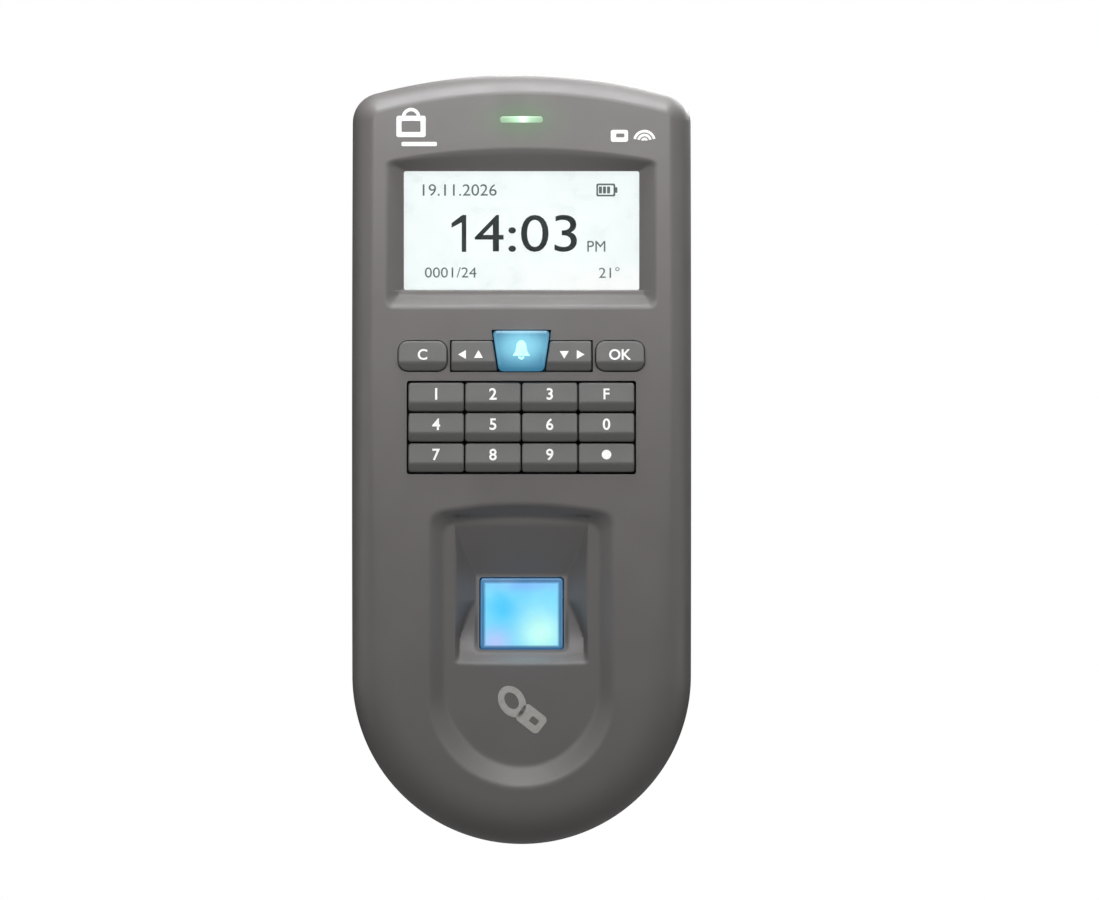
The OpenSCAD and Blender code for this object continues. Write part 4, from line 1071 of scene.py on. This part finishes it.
# a pad with rounded corners, its edge rounded by a quarter circle, set square to the well's floor
def buildSensorWindow():
    turn = np.linspace(0, np.pi / 2, 6)
    insets, drops = sensor["edge"] * (1 - np.cos(turn)), sensor["edge"] * (1 - np.sin(turn))
    rings = []
    for inset, level in [(0, sensor["back"])] + list(zip(insets, sensor["front"] - drops)):
        loop = roundedLoop(0, 0, sensor["width"] - 2 * inset, sensor["height"] - 2 * inset, sensor["corner"] - inset)
        rings.append(sensorPoints(loop, level))
    solid = np.concatenate(rings), stackFaces(len(rings), len(rings[0]))
    newPiece("sensorWindowGlass", solid, materials["sensor_window"], "sensor_glass")


# a bar that carries the light forward, with a rounded end in the slit and a foot behind it
def buildStatusLens():
    front = crown(slit["z"]) + 0.12
    levels = [(0.0, 29.0), (0.0, front - 0.25), (0.07, front - 0.1), (0.2, front - 0.02), (0.4, front)]
    rings = [roundedLoop(0, slit["z"], slit["width"] - 2 * i, slit["height"] - 2 * i, max(slit["corner"] - i, 0.05))
             for i, _ in levels]
    points = [rowPoints(ring[:, 0], depth, ring[:, 1]) for ring, (_, depth) in zip(rings, levels)]
    bar = np.concatenate(points), stackFaces(len(rings), len(rings[0]))
    foot = prismSolid(roundedLoop(0, slit["z"], 8.0, 3.0, 0.3), 22.6, 29.4)
    piece = newPiece("statusLens", bar, materials["light_guide"], "light_pipe", False)
    cutAway(piece, [foot], "UNION")
    smoothMesh(piece.data, 34)
    dress(piece, materials["light_guide"], "light_pipe")


def buildPrintedMarks():
    def ring(outer, inner):
        return flatRing(outer, inner, faceDepth, inkDepth["face"])

    def plate(loop):
        return flatPlate(loop, faceDepth, inkDepth["face"])

    lock = [ring(roundedLoop(-25.6, 77.2, 6.8, 5.0, 0.5), roundedLoop(-25.6, 77.2, 4.4, 2.6, 0.25)),
            plate(arcBand(-25.6, 79.4, 1.75, 0.8, 0, 180)), plate(roundedLoop(-23.7, 73.1, 8.2, 1.0, 0.3))]
    reader = [ring(roundedLoop(22.7, 75.0, 4.0, 2.8, 0.5), roundedLoop(22.9, 75.1, 1.9, 0.9, 0.2))]
    reader += [plate(arcBand(28.5, 73.8, radius, 0.62, 12, 168)) for radius in (0.5, 1.4, 2.3)]
    tag = [ring(ellipseLoop(-2.2, -56.2, 3.0, 3.9, 32), ellipseLoop(-2.3, -56.0, 1.5, 2.1, 32)),
           ring(roundedLoop(2.3, -60.2, 6.4, 4.7, 1.1, -38, 9), roundedLoop(2.9, -60.7, 2.0, 1.5, 0.3, -38, 9))]
    for name, parts, ink in (("lockMark", lock, "white"), ("readerMark", reader, "white"), ("tagMark", tag, "grey")):
        newPiece(name, joinSolids(*parts), inks[ink], "front_cover", False, 20)


def refine(node, bevel):  # a copy of a node's own mesh, its flats made whole again and its edges softened
    mesh = nodes[node].data.copy()
    mesh.name = node + "_finish"
    cleanMesh(mesh, 0.6)
    smoothMesh(mesh, 30)
    piece = dress(addObject(node + "_finish", mesh), materials[slotOf[node]], node)
    if bevel:
        addBevel(piece, bevel, 38)
    return piece


def squeezeSpring(piece):  # gives the spring's piece a mesh of its own; the plunger's travel is not taken off its length
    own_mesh(piece)


frontCover = buildFrontCover(materials["front_plastic"])
print("front cover:", len(frontCover.data.polygons), "faces")
buildKeys()
print("keys and legends done")
buildDisplay()
buildSensorWindow()
buildStatusLens()
buildPrintedMarks()
print("display, sensor and marks done")

replaced = {"front_cover", "display_window", "sensor_glass", "light_pipe"} | set(legends)
softEdges = {  # bevel widths
    "rear_cover": 0.25, "wall_plate": 0.18, "case_screws": 0.12, "retaining_screw": 0.12, "network_socket": 0.15,
    "terminal_blocks": 0.12, "door_relay": 0.35, "usb_socket": 0.1, "capacitors": 0.4, "board_chips": 0.08,
    "tamper_plunger": 0.15, "lcd_frame": 0.15, "sensor_housing": 0.3, "sensor_camera": 0.2, "main_board": 0.05,
    "keypad_board": 0.05, "backup_battery": 0.25, "battery_holder": 0.12, "speaker": 0.2, "board_screws": 0.12,
    "small_screws": 0.08, "ribbon_sockets": 0.08,
}
for node in nodes:
    if node not in replaced:
        finished = refine(node, softEdges.get(node))
        if node == "tamper_spring":
            squeezeSpring(finished)
print("other pieces done:", len(nodes) - len(replaced))

studio = {"middle": (0.0065, 0.0, 0.0022), "distance": 1.1, "frameWidth": 0.2569, "faceAt": 0.025,
          "sensorWidth": 36, "floor": [[-2, -2, -0.5], [2, -2, -0.5], [2, 1.3, -0.5], [-2, 1.3, -0.5]]}
coolWhite = (0.96, 0.98, 1)
lights = [  # name, place, aim, size, power, colour
    ("frontSoftbox", (0.0, -0.34, 0.25), (0, -0.03, 0.02), (0.28, 0.16), 0.96, (1, 1, 1)),
    ("nearLeft", (-0.17, -0.26, 0.10), (0, -0.03, 0.02), (0.16, 0.2), 0.185, (1, 1, 1)),
    ("nearRight", (0.17, -0.26, 0.10), (0, -0.03, 0.02), (0.16, 0.2), 0.175, (1, 1, 1)),
    ("highSoftbox", (0.0, -0.12, 0.55), (0, -0.03, 0.0), (0.5, 0.3), 1.0, coolWhite),
    ("overheadSoftbox", (0.0, -0.03, 0.60), (0, -0.03, 0.0), (0.5, 0.3), 3.8, coolWhite),
    ("lowFill", (0.0, -0.45, -0.35), (0, -0.03, 0.0), (0.4, 0.3), 0.19, (1, 1, 1)),
    ("leftRim", (-0.9, -0.06, 0.0), (0, -0.03, -0.02), (0.4, 0.5), 0.85, (1, 1, 1)),
    ("rightRim", (0.9, -0.06, 0.0), (0, -0.03, -0.02), (0.4, 0.5), 0.72, (1, 1, 1)),
    ("rearSoftbox", (0.35, 0.95, 0.55), (0, 0, 0), (0.8, 0.6), 14.0, (1, 1, 1)),
]


# camera rays take a share of what is seen, other rays what is lit
def seenAndLit(tree, share, lit, seen, surface):
    camera = addNode(tree, "LightPath").outputs["Is Camera Ray"]
    factor = camera if share == 1 else mathNode(tree, "MULTIPLY", camera, share)
    mix = addNode(tree, "MixShader", {0: factor})
    tree.links.new(lit.outputs[0], mix.inputs[1])
    tree.links.new(seen.outputs[0], mix.inputs[2])
    tree.links.new(mix.outputs[0], surface)


def buildPaper():  # pale paper: seen evenly lit, while what it throws back on the terminal stays soft
    material, tree, shader = newMaterial("studioPaper", Roughness=0.9, Base_Color=(0.28, 0.28, 0.28, 1))
    seen = addNode(tree, "Emission", {"Color": (0.70, 0.71, 0.71, 1), "Strength": 1.0})
    seenAndLit(tree, 0.9, shader, seen, tree.nodes["Material Output"].inputs["Surface"])
    return material


def buildWorld():  # plain white behind the object, a softer grey for what lights it
    world = bpy.data.worlds.new("studioAir")
    world.use_nodes = True
    tree = world.node_tree
    tree.nodes.clear()
    seen = addNode(tree, "Background", {"Color": (1, 1, 1, 1), "Strength": 1.0})
    lit = addNode(tree, "Background", {"Color": (0.95, 0.97, 1, 1), "Strength": 0.04})
    seenAndLit(tree, 1, lit, seen, addNode(tree, "OutputWorld").inputs["Surface"])
    bpy.context.scene.world = world


def areaLight(name, place, aim, size, power, colour):
    data = bpy.data.lights.new(name, "AREA")
    data.shape, data.size, data.size_y = "RECTANGLE", size[0], size[1]
    data.energy, data.color = power, colour
    lamp = addObject(name, data)
    lamp.location = place
    lamp.rotation_euler = (Vector(aim) - Vector(place)).to_track_quat("-Z", "Y").to_euler()


floor = addObject("studioFloor", newMesh("studioFloor", np.array(studio["floor"]), [np.array([[0, 1, 2, 3]])]))
floor.data.materials.append(buildPaper())
for light in lights:
    areaLight(*light)
buildWorld()
bpy.context.scene.view_settings.view_transform = "Standard"
bpy.context.scene.view_settings.look = "None"

cameraData = bpy.data.cameras.new("studioCamera")
cameraData.sensor_width = studio["sensorWidth"]
cameraData.lens = studio["sensorWidth"] * (studio["distance"] - studio["faceAt"]) / studio["frameWidth"]
cameraData.clip_start = 0.01
camera = addObject("studioCamera", cameraData)
camera.location = (studio["middle"][0], -studio["distance"], studio["middle"][2])
camera.rotation_euler = (math.radians(90), 0, 0)
bpy.context.scene.camera = camera
print("studio ready")
